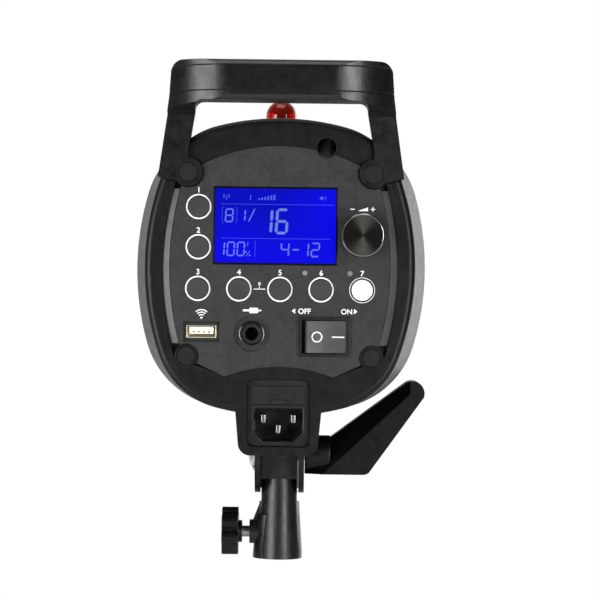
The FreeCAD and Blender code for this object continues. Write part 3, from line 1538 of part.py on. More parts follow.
def fan_frame():
    """The cooling fan's frame, with three struts that hold its bearing pin."""
    half, z = s.fan_size / 2, FAN_CENTRE
    frame = box(-half, half, -s.fan_rear, -s.fan_rear + s.fan_depth, z - half, z + half)
    ring = cut(frame, rod("y", 0, -s.fan_rear - 1, z, FAN_BORE, s.fan_depth + 2))
    strut = box(-half + 1, half - 1, -s.fan_rear, -s.fan_rear + 2.5, z - 2, z + 2)
    upright = box(-2, 2, -s.fan_rear, -s.fan_rear + 2.5, z - half + 1, z + half - 1)
    pin = rod("y", 0, -s.fan_rear, z, s.fan_pin_radius, s.fan_depth - 4)
    return fuse(ring, strut, upright, pin)


def fan_rotor():
    """The cooling fan's rotor: a hub with pitched blades, running on the frame's pin."""
    body = new_body()
    rear, depth = -s.fan_rear + 3.5, s.fan_depth - 6
    pad(body, Draft("XZ", rear + depth, body).circle(0, 0, s.fan_hub_radius), depth)
    root, tip = s.fan_hub_radius - 1, FAN_BORE - 1
    blade_rear, blade_front = rear + 1.5, rear + depth - 1.5
    lean = (blade_front - blade_rear) / 2 * sine(s.fan_blade_angle) / cosine(s.fan_blade_angle)
    blade = pad(body, Draft("XY", root, body).outline(
        (-lean - 0.8, blade_rear), (-lean + 0.8, blade_rear), (lean + 0.8, blade_front),
        (lean - 0.8, blade_front)), tip - root)
    repeat(body, blade, "Y_Axis", s.fan_blade_count)
    pocket(body, Draft("XZ", rear - 1, body).circle(
        0, 0, s.fan_pin_radius + s.running_clearance), depth + 2)
    return put(body, z=FAN_CENTRE + HEAD_RISE + s.pivot_height)


# ---- front of the head ---------------------------------------------------------------------------


def front_collar():
    """The cast collar that closes the housing's front and turns it round."""
    body = new_body()
    outer = s.collar_radius
    loft(body, "AdditiveLoft", case_section(Draft("XZ", s.collar_joint, body)),
         round_section(Draft("XZ", RING_JOINT, body), outer))
    loft(body, "SubtractiveLoft", case_section(Draft("XZ", s.collar_joint - 0.01, body), -s.wall),
         round_section(Draft("XZ", RING_JOINT + 0.01, body), outer - s.wall))
    seat = Draft("XZ", RING_JOINT, body)
    seat.circle(0, 0, s.collar_radius - 1)
    seat.circle(0, 0, RING_OPENING)
    pad(body, seat, 2.0)
    drill(body, RING_JOINT + 1, RING_JOINT - s.collar_joint + 2,
          [(s.umbrella_x, UMBRELLA_Z)], s.umbrella_bore + s.umbrella_wall + 0.1)
    drill(body, RING_JOINT + 1, 4, ring_screw_places(), s.screw_radius)
    lock = Draft("YZ", -s.collar_radius - 4, body)
    rectangle(lock, LOCK_REAR - s.lock_travel - 0.4, LOCK_REAR + s.lock_arm_depth + 0.4,
              -s.lock_arm_half - 0.3, s.lock_arm_half + 0.3)
    pocket(body, lock, 14, backwards=True)
    drill(body, RING_JOINT + 1, 4, [(-RING_SEAT_RADIUS, 0)], s.lock_pin_radius + s.running_clearance)
    return body


def drill(body, station, depth, places, radius):
    """Bore round holes rearwards from a station along the head."""
    holes = Draft("XZ", station, body)
    for x, z in places:
        holes.circle(x, z, radius)
    pocket(body, holes, depth, backwards=True)


def round_section(draft, radius):
    """Draw a circle as eight arcs that pair with the housing's section."""
    side_turn, top_turn = 22.5, 67.5
    turns = [-side_turn, side_turn, top_turn, 180 - top_turn, 180 - side_turn, 180 + side_turn,
             180 + top_turn, 360 - top_turn]
    corners = [(radius * cosine(angle), radius * sine(angle), radius) for angle in turns[1:] + turns[:1]]
    return draft.outline(*corners)


def mount_ring():
    """The accessory mount ring with its three bayonet gaps."""
    body = new_body()
    rear, front = RING_JOINT, RING_JOINT + s.ring_depth
    lip_front = front - 1
    lip_rear = lip_front - s.lip_thickness
    turn(body, Draft("XY", body=body).outline(
        (RING_OPENING, rear), (RING_RADIUS, rear), (RING_RADIUS, front), (RING_BORE, front),
        (RING_BORE, lip_front), (LIP_OPENING, lip_front), (LIP_OPENING, lip_rear),
        (RING_BORE, lip_rear), (RING_BORE, rear + s.ring_flange), (RING_OPENING, rear + s.ring_flange)))
    half = s.lip_gap_angle / 2
    inner = LIP_OPENING - 1
    gap = pocket(body, Draft("XZ", front, body).outline(
        (RING_BORE * sine(half), -RING_BORE * cosine(half), RING_BORE),
        (inner * sine(half), -inner * cosine(half)), (-inner * sine(half), -inner * cosine(half)),
        (-RING_BORE * sine(half), -RING_BORE * cosine(half))), s.lip_thickness + 2, backwards=True)
    repeat(body, gap, "Y_Axis", 3)
    drill(body, front + 1, s.ring_depth + 2, [(s.umbrella_x, UMBRELLA_Z)],
          s.umbrella_bore + s.umbrella_wall + 0.1)
    flange_front = rear + s.ring_flange + 1
    drill(body, flange_front, s.ring_flange + 2, [(-RING_SEAT_RADIUS, 0)],
          s.lock_pin_radius + s.running_clearance)
    drill(body, flange_front, s.ring_flange + 2, ring_screw_places(), s.screw_radius + 0.1)
    return body


def ring_screw_places():
    """The four screws that hold the mount ring on the collar."""
    return [(RING_SEAT_RADIUS * cosine(angle), RING_SEAT_RADIUS * sine(angle))
            for angle in (35, 145, 215, 325)]


def chassis_screws():
    """The screws of the mount ring and the two that hold the yoke."""
    seat = RING_JOINT + s.ring_flange
    screws = [fuse(rod("y", x, seat, z, s.screw_head_radius - 0.4, s.screw_head_height - 0.4),
                   rod("y", x, seat - s.ring_flange - 1.9, z, s.screw_radius, s.ring_flange + 2))
              for x, z in ring_screw_places()]
    under = s.yoke_rise - s.yoke_thickness - HEAD_RISE
    for side in (-1, 1):
        y = side * YOKE_SCREW_REACH
        screws.append(fuse(rod("z", 0, y, under - s.screw_head_height, s.screw_head_radius,
                               s.screw_head_height),
                           rod("z", 0, y, under - 0.1, s.screw_radius, s.yoke_thickness + 4)))
    return group(*screws)


def reflector_dish():
    """The polished dish behind the flash tube."""
    body = new_body()
    seat, sheet = BULKHEAD_FRONT, s.dish_sheet
    bore = LAMP_BARREL + 0.3
    turn(body, Draft("XY", body=body).outline(
        (bore, seat), (s.dish_inner, seat), (DISH_OUTER, seat + s.dish_rise),
        (DISH_OUTER, seat + s.dish_rise + sheet), (s.dish_inner, seat + sheet), (bore, seat + sheet)))
    legs = Draft("XZ", seat + s.dish_rise + 2, body)
    for x, z in tube_feet():
        legs.circle(x, z, s.tube_socket_radius + 0.2)
    pocket(body, legs, s.dish_rise + 6, backwards=True)
    return body


def tube_feet():
    """Where the flash tube's two legs stand."""
    reach, angle = s.tube_ring_radius, s.tube_gap_angle
    return [(-reach * sine(angle), -reach * cosine(angle)), (reach * sine(angle), -reach * cosine(angle))]


def flash_tube():
    """The ring flash tube with its two legs."""
    level = BULKHEAD_FRONT + s.tube_rise
    ring = doc.addObject("Part::Torus", "Ring")
    bind(ring, "Radius1", s.tube_ring_radius)
    bind(ring, "Radius2", s.tube_radius)
    bind(ring, "Angle3", 360 - s.tube_gap_angle * 2)
    ring.Placement = Placement(Vector(), Rotation(Vector(1, 0, 0), 90)
                               * Rotation(Vector(0, 0, 1), -90 + s.tube_gap_angle.value))
    put(ring, 0, level, 0)
    parts = [ring]
    for x, z in tube_feet():
        parts.append(ball(x, level, z, s.tube_radius))
        parts.append(rod("y", x, BULKHEAD_FRONT + 3, z, s.tube_radius, s.tube_rise - 3))
    return fuse(*parts)


def tube_sockets():
    """The two ceramic sockets of the flash tube."""
    seat = BULKHEAD_FRONT
    return group(*[cut(rod("y", x, seat, z, s.tube_socket_radius, s.tube_socket_height),
                       rod("y", x, seat + 2.9, z, s.tube_radius + 0.1, s.tube_socket_height))
                   for x, z in tube_feet()])


def lamp_socket():
    """The modelling lamp's ceramic socket, with a flange on the dish."""
    flange = BULKHEAD_FRONT + s.dish_sheet
    rear = flange - s.lamp_socket_depth
    barrel = rod("y", 0, rear, 0, LAMP_BARREL, s.lamp_socket_depth + 1)
    rim = rod("y", 0, flange, 0, LAMP_RIM, 2)
    bore = rod("y", 0, rear + 3, 0, s.lamp_base_radius + 0.2, s.lamp_socket_depth + 2)
    return cut(fuse(barrel, rim), bore)


def lamp_cap():
    """The modelling lamp's screw cap."""
    return rod("y", 0, LAMP_BASE_REAR, 0, s.lamp_base_radius, s.lamp_base_length + 8)


def lamp_glass():
    """The modelling lamp's glass envelope."""
    body = new_body()
    start = LAMP_BASE_REAR + s.lamp_base_length + 8
    end = start + s.lamp_length
    bulb = s.lamp_bulb_radius
    turn(body, Draft("XY", body=body).outline(
        (0, start), (s.lamp_neck, start), (s.lamp_neck, start + 4), (bulb, start + 16),
        (bulb, end - bulb), (0, end, bulb)))
    return body


def lock_slider():
    """The accessory lock: a pin through the mount ring, an arm and a thumb tab outside."""
    rear = LOCK_REAR
    pin = rod("y", -RING_SEAT_RADIUS, rear, 0, s.lock_pin_radius,
              RING_JOINT + s.ring_flange + s.lock_travel - rear)
    arm = box(-LOCK_TAB_REACH + 2, -RING_SEAT_RADIUS + s.lock_pin_radius, rear, rear + s.lock_arm_depth,
              -s.lock_arm_half, s.lock_arm_half)
    tab = box(-LOCK_TAB_REACH, -s.collar_radius - 0.8, rear - 3, rear + s.lock_arm_depth + 3,
              -s.lock_tab_half, s.lock_tab_half)
    return fuse(pin, arm, tab)


STAND_PARTS = [stand_socket, clamp_tip, clamp_screw, clamp_knob]
PIVOT_PARTS = [yoke, pivot_bolt, pivot_washers, tilt_lever]
HEAD_PARTS = [
    housing_upper, housing_lower, vent_grille_left, vent_grille_right, rear_cover, control_panel,
    handle, case_screws, screw_caps, lcd_window, lcd_module, control_board, indicator_leds,
    button_receiver, button_group, button_mode, button_slave, button_beep, button_lamp, button_test,
    set_knob, encoder_shaft, encoder_plunger, encoder_body, usb_port, sync_jack, jack_nut,
    switch_frame, switch_rocker, inlet_body, inlet_pins, fuse_drawer, fuse_link, umbrella_tube,
    sensor_base, sensor_dome, chassis_plate, capacitors, power_board, transformer, fan_frame,
    fan_rotor, front_collar, mount_ring, chassis_screws, reflector_dish, flash_tube, tube_sockets,
    lamp_socket, lamp_cap, lamp_glass, lock_slider,
]
PLACED_BY_HAND = (clamp_knob, switch_rocker, fan_rotor)


def build_all():
    """Build every sub-part, label it with its name and place its group."""
    made = []
    groups = ((STAND_PARTS, 0), (PIVOT_PARTS, s.pivot_height), (HEAD_PARTS, s.pivot_height + HEAD_RISE))
    for parts, height in groups:
        for build in parts:
            sub_part = build()
            if build not in PLACED_BY_HAND and not is_placed_primitive(sub_part):
                put(sub_part, z=height)
            elif build not in PLACED_BY_HAND:
                lift(sub_part, height)
            sub_part.Label = build.__name__
            made.append(sub_part)
    doc.recompute()
    return made


def is_placed_primitive(sub_part):
    """Whether a sub-part is one primitive, whose own placement already says where it lies."""
    return sub_part.TypeId in ("Part::Box", "Part::Cylinder")


def lift(sub_part, height):
    """Raise a single primitive by its group's height."""
    text = [text for path, text in sub_part.ExpressionEngine if path.endswith("Base.z")]
    bind(sub_part, ".Placement.Base.z", Size(text[0], 0) + height)


def check(sub_parts):
    """Stop if any object failed or any sub-part has no sound shape."""
    for thing in doc.Objects:
        if "Invalid" in thing.State or "Error" in thing.State:
            raise ValueError("%s failed: %s" % (thing.Name, thing.State))
    for sub_part in sub_parts:
        if sub_part.Shape.isNull() or not sub_part.Shape.isValid() or not sub_part.Shape.Solids:
            raise ValueError("%s has no sound shape" % sub_part.Label)


def write(sub_parts):
    """Write each sub-part to its own file."""
    os.makedirs("parts", exist_ok=True)
    for sub_part in sub_parts:
        sub_part.Shape.exportStep("parts/%s.step" % sub_part.Label)


sub_parts = build_all()
check(sub_parts)
write(sub_parts)
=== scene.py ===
"""Looks of a monolight strobe: a studio flash head with a rear control panel, on a tilting stand socket.

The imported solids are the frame. Each sub-assembly is a class: it dresses the solids that it keeps, puts a
more carefully edged piece in the place of others, and adds the prints and thin trim that lie on a surface.
Lengths are in metres, in the frame's own axes: +Z up the stand, +Y the way the flash fires.
"""

from __future__ import annotations

import json
import logging
import math
import sys
from dataclasses import dataclass, field
from enum import Enum
from typing import Callable, Iterable, Sequence

import bmesh
import bpy
from mathutils import Matrix, Vector
from mathutils.bvhtree import BVHTree

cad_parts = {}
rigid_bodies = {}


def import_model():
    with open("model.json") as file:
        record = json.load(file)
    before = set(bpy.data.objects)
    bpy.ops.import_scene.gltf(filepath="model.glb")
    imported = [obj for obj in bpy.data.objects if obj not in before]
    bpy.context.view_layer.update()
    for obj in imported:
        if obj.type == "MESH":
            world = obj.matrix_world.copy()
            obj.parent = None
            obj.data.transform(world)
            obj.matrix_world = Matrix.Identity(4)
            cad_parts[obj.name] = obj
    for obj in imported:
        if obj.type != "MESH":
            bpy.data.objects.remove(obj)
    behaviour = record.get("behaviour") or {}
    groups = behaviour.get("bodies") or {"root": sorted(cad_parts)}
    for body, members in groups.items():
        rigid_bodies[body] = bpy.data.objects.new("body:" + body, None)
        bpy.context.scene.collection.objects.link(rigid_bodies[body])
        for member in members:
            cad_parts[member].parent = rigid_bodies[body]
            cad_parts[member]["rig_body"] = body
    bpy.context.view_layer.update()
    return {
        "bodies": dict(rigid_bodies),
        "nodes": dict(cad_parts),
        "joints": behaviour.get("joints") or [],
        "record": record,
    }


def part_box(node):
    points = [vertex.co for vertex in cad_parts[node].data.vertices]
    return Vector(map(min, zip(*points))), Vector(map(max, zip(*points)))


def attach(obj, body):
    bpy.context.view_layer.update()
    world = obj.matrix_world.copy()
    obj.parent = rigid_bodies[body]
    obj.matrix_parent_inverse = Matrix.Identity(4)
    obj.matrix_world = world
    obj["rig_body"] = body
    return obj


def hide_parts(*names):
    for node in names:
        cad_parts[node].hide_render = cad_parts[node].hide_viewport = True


LOG = logging.getLogger("monolight_strobe")
MM = 0.001
WELD = 0.002 * MM  # corners nearer than this become one
CUT = 0.0001 * MM  # a corner this near a cutting plane lies on it
SAME_PLACE = 0.001 * MM  # places nearer than this are the same
NOISE_SPAN = (0.3, 0.7)  # the values that fractal noise mostly takes
WHITE = (1.0, 1.0, 1.0)

Triple = tuple[float, float, float]
Colour = Triple
Point = tuple[float, float]
Outline = list[Point]
Output = bpy.types.NodeSocket
Shape = bmesh.types.BMesh


# ---- finishes ------------------------------------------------------------------------------------


def toned(colour: Colour, factor: float, rise: float = 0.0) -> Colour:
    """A colour made paler or darker: each part times a factor, plus a rise, and never over 1."""
    return tuple(min(1.0, c * factor + rise) for c in colour)


class Tree:
    """A node tree, with short calls for the nodes that the finishes and the surroundings are made of."""

    def __init__(self, tree: bpy.types.NodeTree, place: str = "Object") -> None:
        """Take up a tree and start with the coordinates that its textures use.

        Args:
            tree: Blender's node tree.
            place: which coordinates.
        """
        self.nodes = tree.nodes
        self.links = tree.links
        self.place = self.nodes.new("ShaderNodeTexCoord").outputs[place]

    def node(self, kind: str, feeds: dict[str | int, Output | float | tuple],
             **settings: str) -> bpy.types.Node:
        """Add a node and fill its sockets.

        Args:
            kind: the node's type.
            feeds: what goes into each socket: an output is linked, and a value is set.
            settings: the node's own settings.

        Returns:
            The new node.
        """
        node = self.nodes.new(kind)
        for name, value in settings.items():
            setattr(node, name, value)
        for socket, value in feeds.items():
            if isinstance(value, Output):
                self.links.new(value, node.inputs[socket])
            else:
                node.inputs[socket].default_value = value
        return node

    def stretched(self, scale: Triple, shift: Triple = (0.0, 0.0, 0.0)) -> Output:
        """The coordinates, stretched along the axes and then shifted."""
        feeds = {"Scale": scale, "Location": shift, "Vector": self.place}
        return self.node("ShaderNodeMapping", feeds).outputs["Vector"]

    def noise(self, size: float, detail: float = 2.0, rough: float = 0.5,
              place: Output | None = None) -> Output:
        """Fractal noise whose blobs measure about the given size.

        Args:
            size: blob size in metres.
            detail: octaves.
            rough: strength of the finer octaves.
            place: coordinates, when they are not the tree's own.

        Returns:
            The factor output.
        """
        feeds = {"Scale": 1.0 / size, "Detail": detail, "Roughness": rough, "Vector": place or self.place}
        return self.node("ShaderNodeTexNoise", feeds).outputs["Fac"]

    def cells(self, size: float) -> Output:
        """Distance to the nearest of many scattered points, a cell's size apart."""
        feeds = {"Scale": 1.0 / size, "Vector": self.place}
        return self.node("ShaderNodeTexVoronoi", feeds).outputs["Distance"]

    def ramp(self, source: Output, low: float, high: float, start: float = 0.0, end: float = 1.0) -> Output:
        """Map a range of one value on another range, held at its ends.

        Args:
            source: the value to map.
            low: source value that gives start.
            high: source value that gives end.
            start: result at low.
            end: result at high.

        Returns:
            The mapped output.
        """
        feeds = {"Value": source, "From Min": low, "From Max": high, "To Min": start, "To Max": end}
        return self.node("ShaderNodeMapRange", feeds).outputs["Result"]

    def mix(self, share: Output, first: Colour | Output, second: Colour | Output) -> Output:
        """Mix two colours by a share.

        Args:
            share: 0 gives the first colour and 1 the second.
            first: colour, or an output that carries one.
            second: the same.

        Returns:
            The colour output.
        """
        ends = [(*value, 1.0) if isinstance(value, tuple) else value for value in (first, second)]
        feeds = {0: share, 6: ends[0], 7: ends[1]}
        return self.node("ShaderNodeMix", feeds, data_type="RGBA").outputs[2]

    def join(self, operation: str, first: Output, second: Output) -> Output:
        """Join two values with a maths operation."""
        return self.node("ShaderNodeMath", {0: first, 1: second}, operation=operation).outputs[0]

    def length(self, vector: Output) -> Output:
        """The length of a vector."""
        return self.node("ShaderNodeVectorMath", {0: vector}, operation="LENGTH").outputs["Value"]

    def axis(self, name: str) -> Output:
        """One of the coordinates."""
        return self.node("ShaderNodeSeparateXYZ", {0: self.place}).outputs[name]

    def rays(self) -> bpy.types.bpy_prop_collection:
        """The signs that tell which kind of ray is looking."""
        return self.node("ShaderNodeLightPath", {}).outputs


class MaterialTree(Tree):
    """One material's node tree."""

    def __init__(self, name: str) -> None:
        """Start a material with its shader.

        Args:
            name: the material's name.
        """
        self.material = bpy.data.materials.new(name)
        self.material.use_nodes = True
        super().__init__(self.material.node_tree)
        self.shader = self.nodes["Principled BSDF"]

    def set(self, **values: float | Colour) -> None:
        """Set even values on the shader's own sockets.

        Args:
            values: socket names with underscores for spaces, and what they hold.
        """
        for name, value in values.items():
            socket = self.shader.inputs[name.replace("_", " ")]
            socket.default_value = (*value, 1.0) if isinstance(value, tuple) else value

    def drive(self, name: str, output: Output) -> None:
        """Join an output to one of the shader's sockets."""
        self.links.new(output, self.shader.inputs[name])

    def gloss(self, source: Output, low: float, high: float) -> None:
        """Let a noise move the roughness between two values."""
        self.drive("Roughness", self.ramp(source, *NOISE_SPAN, low, high))

    def relief(self, height: Output, depth: float, strength: float = 1.0) -> None:
        """Raise the surface by a height.

        Args:
            height: 0 for the lowest and 1 for the highest points.
            depth: height of the relief in metres.
            strength: share of the relief that shows.
        """
        feeds = {"Distance": depth, "Strength": strength, "Height": height}
        self.drive("Normal", self.node("ShaderNodeBump", feeds).outputs["Normal"])


@dataclass(frozen=True)
class Finish:
    """What all finishes share: a name, and the making of the material, whose nodes each kind lays itself."""

    name: str

    def make(self) -> bpy.types.Material:
        """Build the material.

        Returns:
            The Blender material.
        """
        tree = MaterialTree(self.name)
        self.paint(tree)
        return tree.material

    def paint(self, tree: MaterialTree) -> None:
        """Lay the nodes of this kind of finish."""
        raise NotImplementedError


@dataclass(frozen=True)
class Moulding(Finish):
    """Injection moulded plastic: spark-eroded grain, mottled gloss, paler flecks and rubbed edges."""

    colour: Colour
    roughness: float = 0.5
    specular: float = 0.3
    grain: float = 0.35 * MM
    depth: float = 0.012 * MM
    fleck: float = 0.0
    wear: float = 0.25
    cloud_size: float = 14 * MM
    fleck_size: float = 0.45 * MM
    rub_size: float = 3 * MM
    gloss_size: float = 5 * MM
    edge_span: Point = (0.51, 0.56)

    def paint(self, tree: MaterialTree) -> None:
        """Lay the nodes.

        Args:
            tree: the material's tree.
        """
        cloud = tree.ramp(tree.noise(self.cloud_size, 3.0), *NOISE_SPAN)
        colour = tree.mix(cloud, toned(self.colour, 0.85), toned(self.colour, 1.2, 0.0005))
        if self.fleck:
            specks = tree.ramp(tree.noise(self.fleck_size, 1.0), 0.66, 0.74, 0.0, self.fleck)
            colour = tree.mix(specks, colour, toned(self.colour, 3.0, 0.01))
        edge = tree.ramp(tree.nodes.new("ShaderNodeNewGeometry").outputs["Pointiness"], *self.edge_span)
        rub = tree.ramp(tree.noise(self.rub_size, 4.0), 0.4, 0.7, 0.0, self.wear)
        rubbed = tree.join("MULTIPLY", edge, rub)
        tree.drive("Base Color", tree.mix(rubbed, colour, toned(self.colour, 2.0, 0.012)))
        tree.gloss(tree.noise(self.gloss_size, 4.0), self.roughness - 0.05, self.roughness + 0.06)
        tree.set(Specular_IOR_Level=self.specular)
        tree.relief(tree.noise(self.grain, 2.0, 0.6), self.depth)


@dataclass(frozen=True)
class Rubber(Finish):
    """Soft dull rubber with a fine bloom and small pores."""

    colour: Colour
    bloom_size: float = 1.2 * MM
    gloss_size: float = 2 * MM
    pore_size: float = 0.5 * MM

    def paint(self, tree: MaterialTree) -> None:
        """Lay the nodes.

        Args:
            tree: the material's tree.
        """
        bloom = tree.ramp(tree.noise(self.bloom_size, 4.0), 0.35, 0.75)
        tree.drive("Base Color", tree.mix(bloom, self.colour, toned(self.colour, 1.8, 0.003)))
        tree.gloss(tree.noise(self.gloss_size), 0.72, 0.86)
        tree.set(Specular_IOR_Level=0.2)
        tree.relief(tree.cells(self.pore_size), 0.01 * MM)


class Lay(Enum):
    """Which way a metal's tool marks run, as the stretch of their noise along X, Y and Z."""

    NONE = (1.0, 1.0, 1.0)
    ALONG_X = (0.03, 1.0, 1.0)
    ALONG_Y = (1.0, 0.03, 1.0)
    ALONG_Z = (1.0, 1.0, 0.03)


@dataclass(frozen=True)
class Metal(Finish):
    """Bare or plated metal: tool marks along one axis, faint stains and small scratches."""

    colour: Colour
    roughness: float = 0.3
    lay: Lay = Lay.NONE
    stain: float = 0.12
    metallic: float = 1.0
    stain_size: float = 9 * MM
    mark_size: float = 0.25 * MM

    def paint(self, tree: MaterialTree) -> None:
        """Lay the nodes.

        Args:
            tree: the material's tree.
        """
        tree.set(Metallic=self.metallic)
        stains = tree.ramp(tree.noise(self.stain_size, 4.0), 0.35, 0.7)
        tree.drive("Base Color", tree.mix(stains, self.colour, toned(self.colour, 1 - self.stain)))
        scratches = tree.noise(self.mark_size, 3.0, 0.6, tree.stretched(self.lay.value))
        tree.gloss(scratches, self.roughness - 0.06, self.roughness + 0.08)
        tree.relief(scratches, 0.004 * MM, 0.6)


@dataclass(frozen=True)
class SpunFace(Finish):
    """A lathe-turned anodised face: fine grooves round a centre, which throw a bow-tie of light."""

    colour: Colour
    centre: Point
    roughness: float = 0.34
    pitch: float = 0.12 * MM

    def paint(self, tree: MaterialTree) -> None:
        """Lay the nodes.

        Args:
            tree: the material's tree.
        """
        from_axis = tree.stretched((1.0, 0.0, 1.0), (-self.centre[0], 0.0, -self.centre[1]))
        grooves = tree.noise(self.pitch, 3.0, 0.7, tree.length(from_axis))
        tree.drive("Base Color", tree.mix(grooves, self.colour, toned(self.colour, 1.5)))
        tree.gloss(grooves, self.roughness - 0.04, self.roughness + 0.06)
        feeds = {0: from_axis, 1: (0.0, 1.0, 0.0)}
        round_axis = tree.node("ShaderNodeVectorMath", feeds, operation="CROSS_PRODUCT")
        tree.drive("Tangent", round_axis.outputs["Vector"])
        tree.set(Metallic=1.0, Anisotropic=0.85)
        tree.relief(grooves, 0.006 * MM, 0.5)


@dataclass(frozen=True)
class ClearGlass(Finish):
    """Glass or clear plastic, tinted in its depth, with a few fine streaks."""

    tint: Colour = WHITE
    roughness: float = 0.03
    ior: float = 1.49
    frost: float = 0.0
    clearness: float = 1.0
    tint_size: float = 6 * MM
    haze_size: float = 2 * MM
    streak_size: float = 4 * MM

    def paint(self, tree: MaterialTree) -> None:
        """Lay the nodes.

        Args:
            tree: the material's tree.
        """
        cloud = tree.ramp(tree.noise(self.tint_size), 0.35, 0.65)
        tree.drive("Base Color", tree.mix(cloud, self.tint, toned(self.tint, 0.9)))
        haze = self.roughness + self.frost
        tree.drive("Roughness", tree.ramp(tree.noise(self.haze_size, 4.0), 0.4, 0.8, haze, haze + 0.05))
        tree.set(Transmission_Weight=self.clearness, IOR=self.ior)
        tree.relief(tree.noise(self.streak_size), 0.02 * MM, 0.3)


@dataclass(frozen=True)
class Backlight(Finish):
    """The lit field of a display: deep blue, a little brighter near the lamps at its edges."""

    colour: Colour
    bright: Colour
    half_width: float
    half_height: float
    centre: Point
    strength: float = 1.0
    cloud_size: float = 16 * MM
    cell_size: float = 0.3 * MM

    def paint(self, tree: MaterialTree) -> None:
        """Lay the nodes.

        Args:
            tree: the material's tree.
        """
        x, z = self.centre
        right = tree.ramp(tree.axis("X"), x + 0.2 * self.half_width, x + self.half_width)
        low = tree.ramp(tree.axis("Z"), z + 0.5 * self.half_height, z - self.half_height)
        cloud = tree.ramp(tree.noise(self.cloud_size), *NOISE_SPAN, 0.0, 0.35)
        share = tree.join("ADD", tree.join("MAXIMUM", right, low), cloud)
        tree.drive("Emission Color", tree.mix(share, self.colour, self.bright))
        tree.set(Base_Color=(0.0, 0.0, 0.02), Emission_Strength=self.strength, Roughness=0.25)
        tree.set(Specular_IOR_Level=0.2)
        tree.relief(tree.cells(self.cell_size), 0.001 * MM, 0.3)


@dataclass(frozen=True)
class Ink(Finish):
    """Screen printed ink with a slightly uneven edge of density, lit from behind when it glows."""

    colour: Colour
    glow: float = 0.0
    cloud_size: float = 0.5 * MM
    relief_size: float = 0.3 * MM

    def paint(self, tree: MaterialTree) -> None:
        """Lay the nodes.

        Args:
            tree: the material's tree.
        """
        cloud = tree.ramp(tree.noise(self.cloud_size, 3.0), 0.4, 0.8)
        tone = tree.mix(cloud, self.colour, toned(self.colour, 0.88))
        if self.glow:
            tree.set(Base_Color=(0.0, 0.0, 0.0), Emission_Strength=self.glow)
        tree.drive("Emission Color" if self.glow else "Base Color", tone)
        tree.set(Roughness=0.6, Specular_IOR_Level=0.2)
        tree.relief(tree.noise(self.relief_size), 0.003 * MM)


@dataclass(frozen=True)
class Ceramic(Finish):
    """Glazed ceramic with a faint pitted skin."""

    colour: Colour
    roughness: float = 0.35
    pit_size: float = 1.1 * MM
    gloss_size: float = 3 * MM

    def paint(self, tree: MaterialTree) -> None:
        """Lay the nodes.

        Args:
            tree: the material's tree.
        """
        pits = tree.ramp(tree.cells(self.pit_size), 0.0, 0.25)
        tree.drive("Base Color", tree.mix(pits, toned(self.colour, 0.8), self.colour))
        tree.gloss(tree.noise(self.gloss_size), self.roughness, self.roughness + 0.1)
        tree.relief(pits, 0.02 * MM, 0.5)


@dataclass(frozen=True)
class CircuitBoard(Finish):
    """Solder-masked board: green with tracks that run along one axis and small pads."""

    colour: Colour
    pad_colour: Colour = (0.62, 0.6, 0.5)
    track_size: float = 1.6 * MM
    pad_pitch: float = 2.6 * MM

    def paint(self, tree: MaterialTree) -> None:
        """Lay the nodes.

        Args:
            tree: the material's tree.
        """
        tracks = tree.ramp(tree.noise(self.track_size, 0.0, 0.0, tree.stretched((0.2, 1.0, 1.0))), 0.5, 0.53)
        pads = tree.ramp(tree.cells(self.pad_pitch), 0.16, 0.12)
        lit = tree.mix(tracks, self.colour, toned(self.colour, 1.9))
        tree.drive("Base Color", tree.mix(pads, lit, self.pad_colour))
        tree.drive("Metallic", pads)
        tree.drive("Roughness", tree.ramp(tracks, 0.0, 1.0, 0.35, 0.28))
        tree.relief(tracks, 0.03 * MM)


class Finishes:
    """Every finish of the strobe, made once each and handed out by name."""

    def __init__(self) -> None:
        """Make room for the materials."""
        self.made: dict[str, bpy.types.Material] = {}

    def get(self, finish: Finish) -> bpy.types.Material:
        """The material of a finish, made when it is first asked for."""
        if finish.name not in self.made:
            self.made[finish.name] = finish.make()
        return self.made[finish.name]


COVER = Moulding("cover_plastic", (0.0052, 0.0048, 0.0051), 0.38, 0.24, fleck=0.12)
PANEL = Moulding("panel_plastic", (0.0235, 0.0227, 0.0233), 0.6, 0.25, grain=0.6 * MM, depth=0.06 * MM,
                 fleck=0.6)
TRIM = Moulding("trim_plastic", (0.038, 0.038, 0.0385), 0.36, 0.45, depth=0.006 * MM)
HANDLE = Moulding("handle_plastic", (0.0050, 0.0048, 0.0050), 0.29, 0.5, depth=0.006 * MM, fleck=0.1)
VENT = Moulding("vent_plastic", (0.006, 0.006, 0.006), 0.6, 0.2)
CAP_RUBBER = Rubber("cap_rubber", (0.009, 0.009, 0.009))
KEY_CAP = Moulding("key_plastic", (0.035, 0.034, 0.035), 0.5, 0.3, grain=0.2 * MM)
WHITE_KEY = Moulding("white_key_plastic", (0.84, 0.84, 0.83), 0.4, 0.3, grain=0.2 * MM, wear=0.0)
WHITE_INK = Ink("white_ink", (0.86, 0.86, 0.86))
DISPLAY_FAINT = Ink("display_faint", (0.09, 0.11, 0.9), 1.0)
DISPLAY_SMALL = Ink("display_small_digits", (0.13, 0.17, 0.85), 1.0)
DISPLAY_LARGE = Ink("display_large_digits", (0.14, 0.22, 0.72), 1.0)
KNOB_SIDE = Metal("knob_side_anodised", (0.02, 0.02, 0.02), 0.35, Lay.ALONG_Y)
KNOB_RIM = Metal("knob_rim_cut", (0.3, 0.3, 0.29), 0.2)
GREY_PLASTIC = Moulding("encoder_plastic", (0.12, 0.12, 0.13), 0.5)
STEEL = Metal("screw_steel", (0.42, 0.42, 0.42), 0.34, Lay.ALONG_Z)
FRICTION_DISC = Rubber("friction_disc", (0.006, 0.006, 0.006))
PORT_SHELL = Metal("port_plating", (0.93, 0.87, 0.66), 0.3, Lay.ALONG_X, 0.1, metallic=0.7)
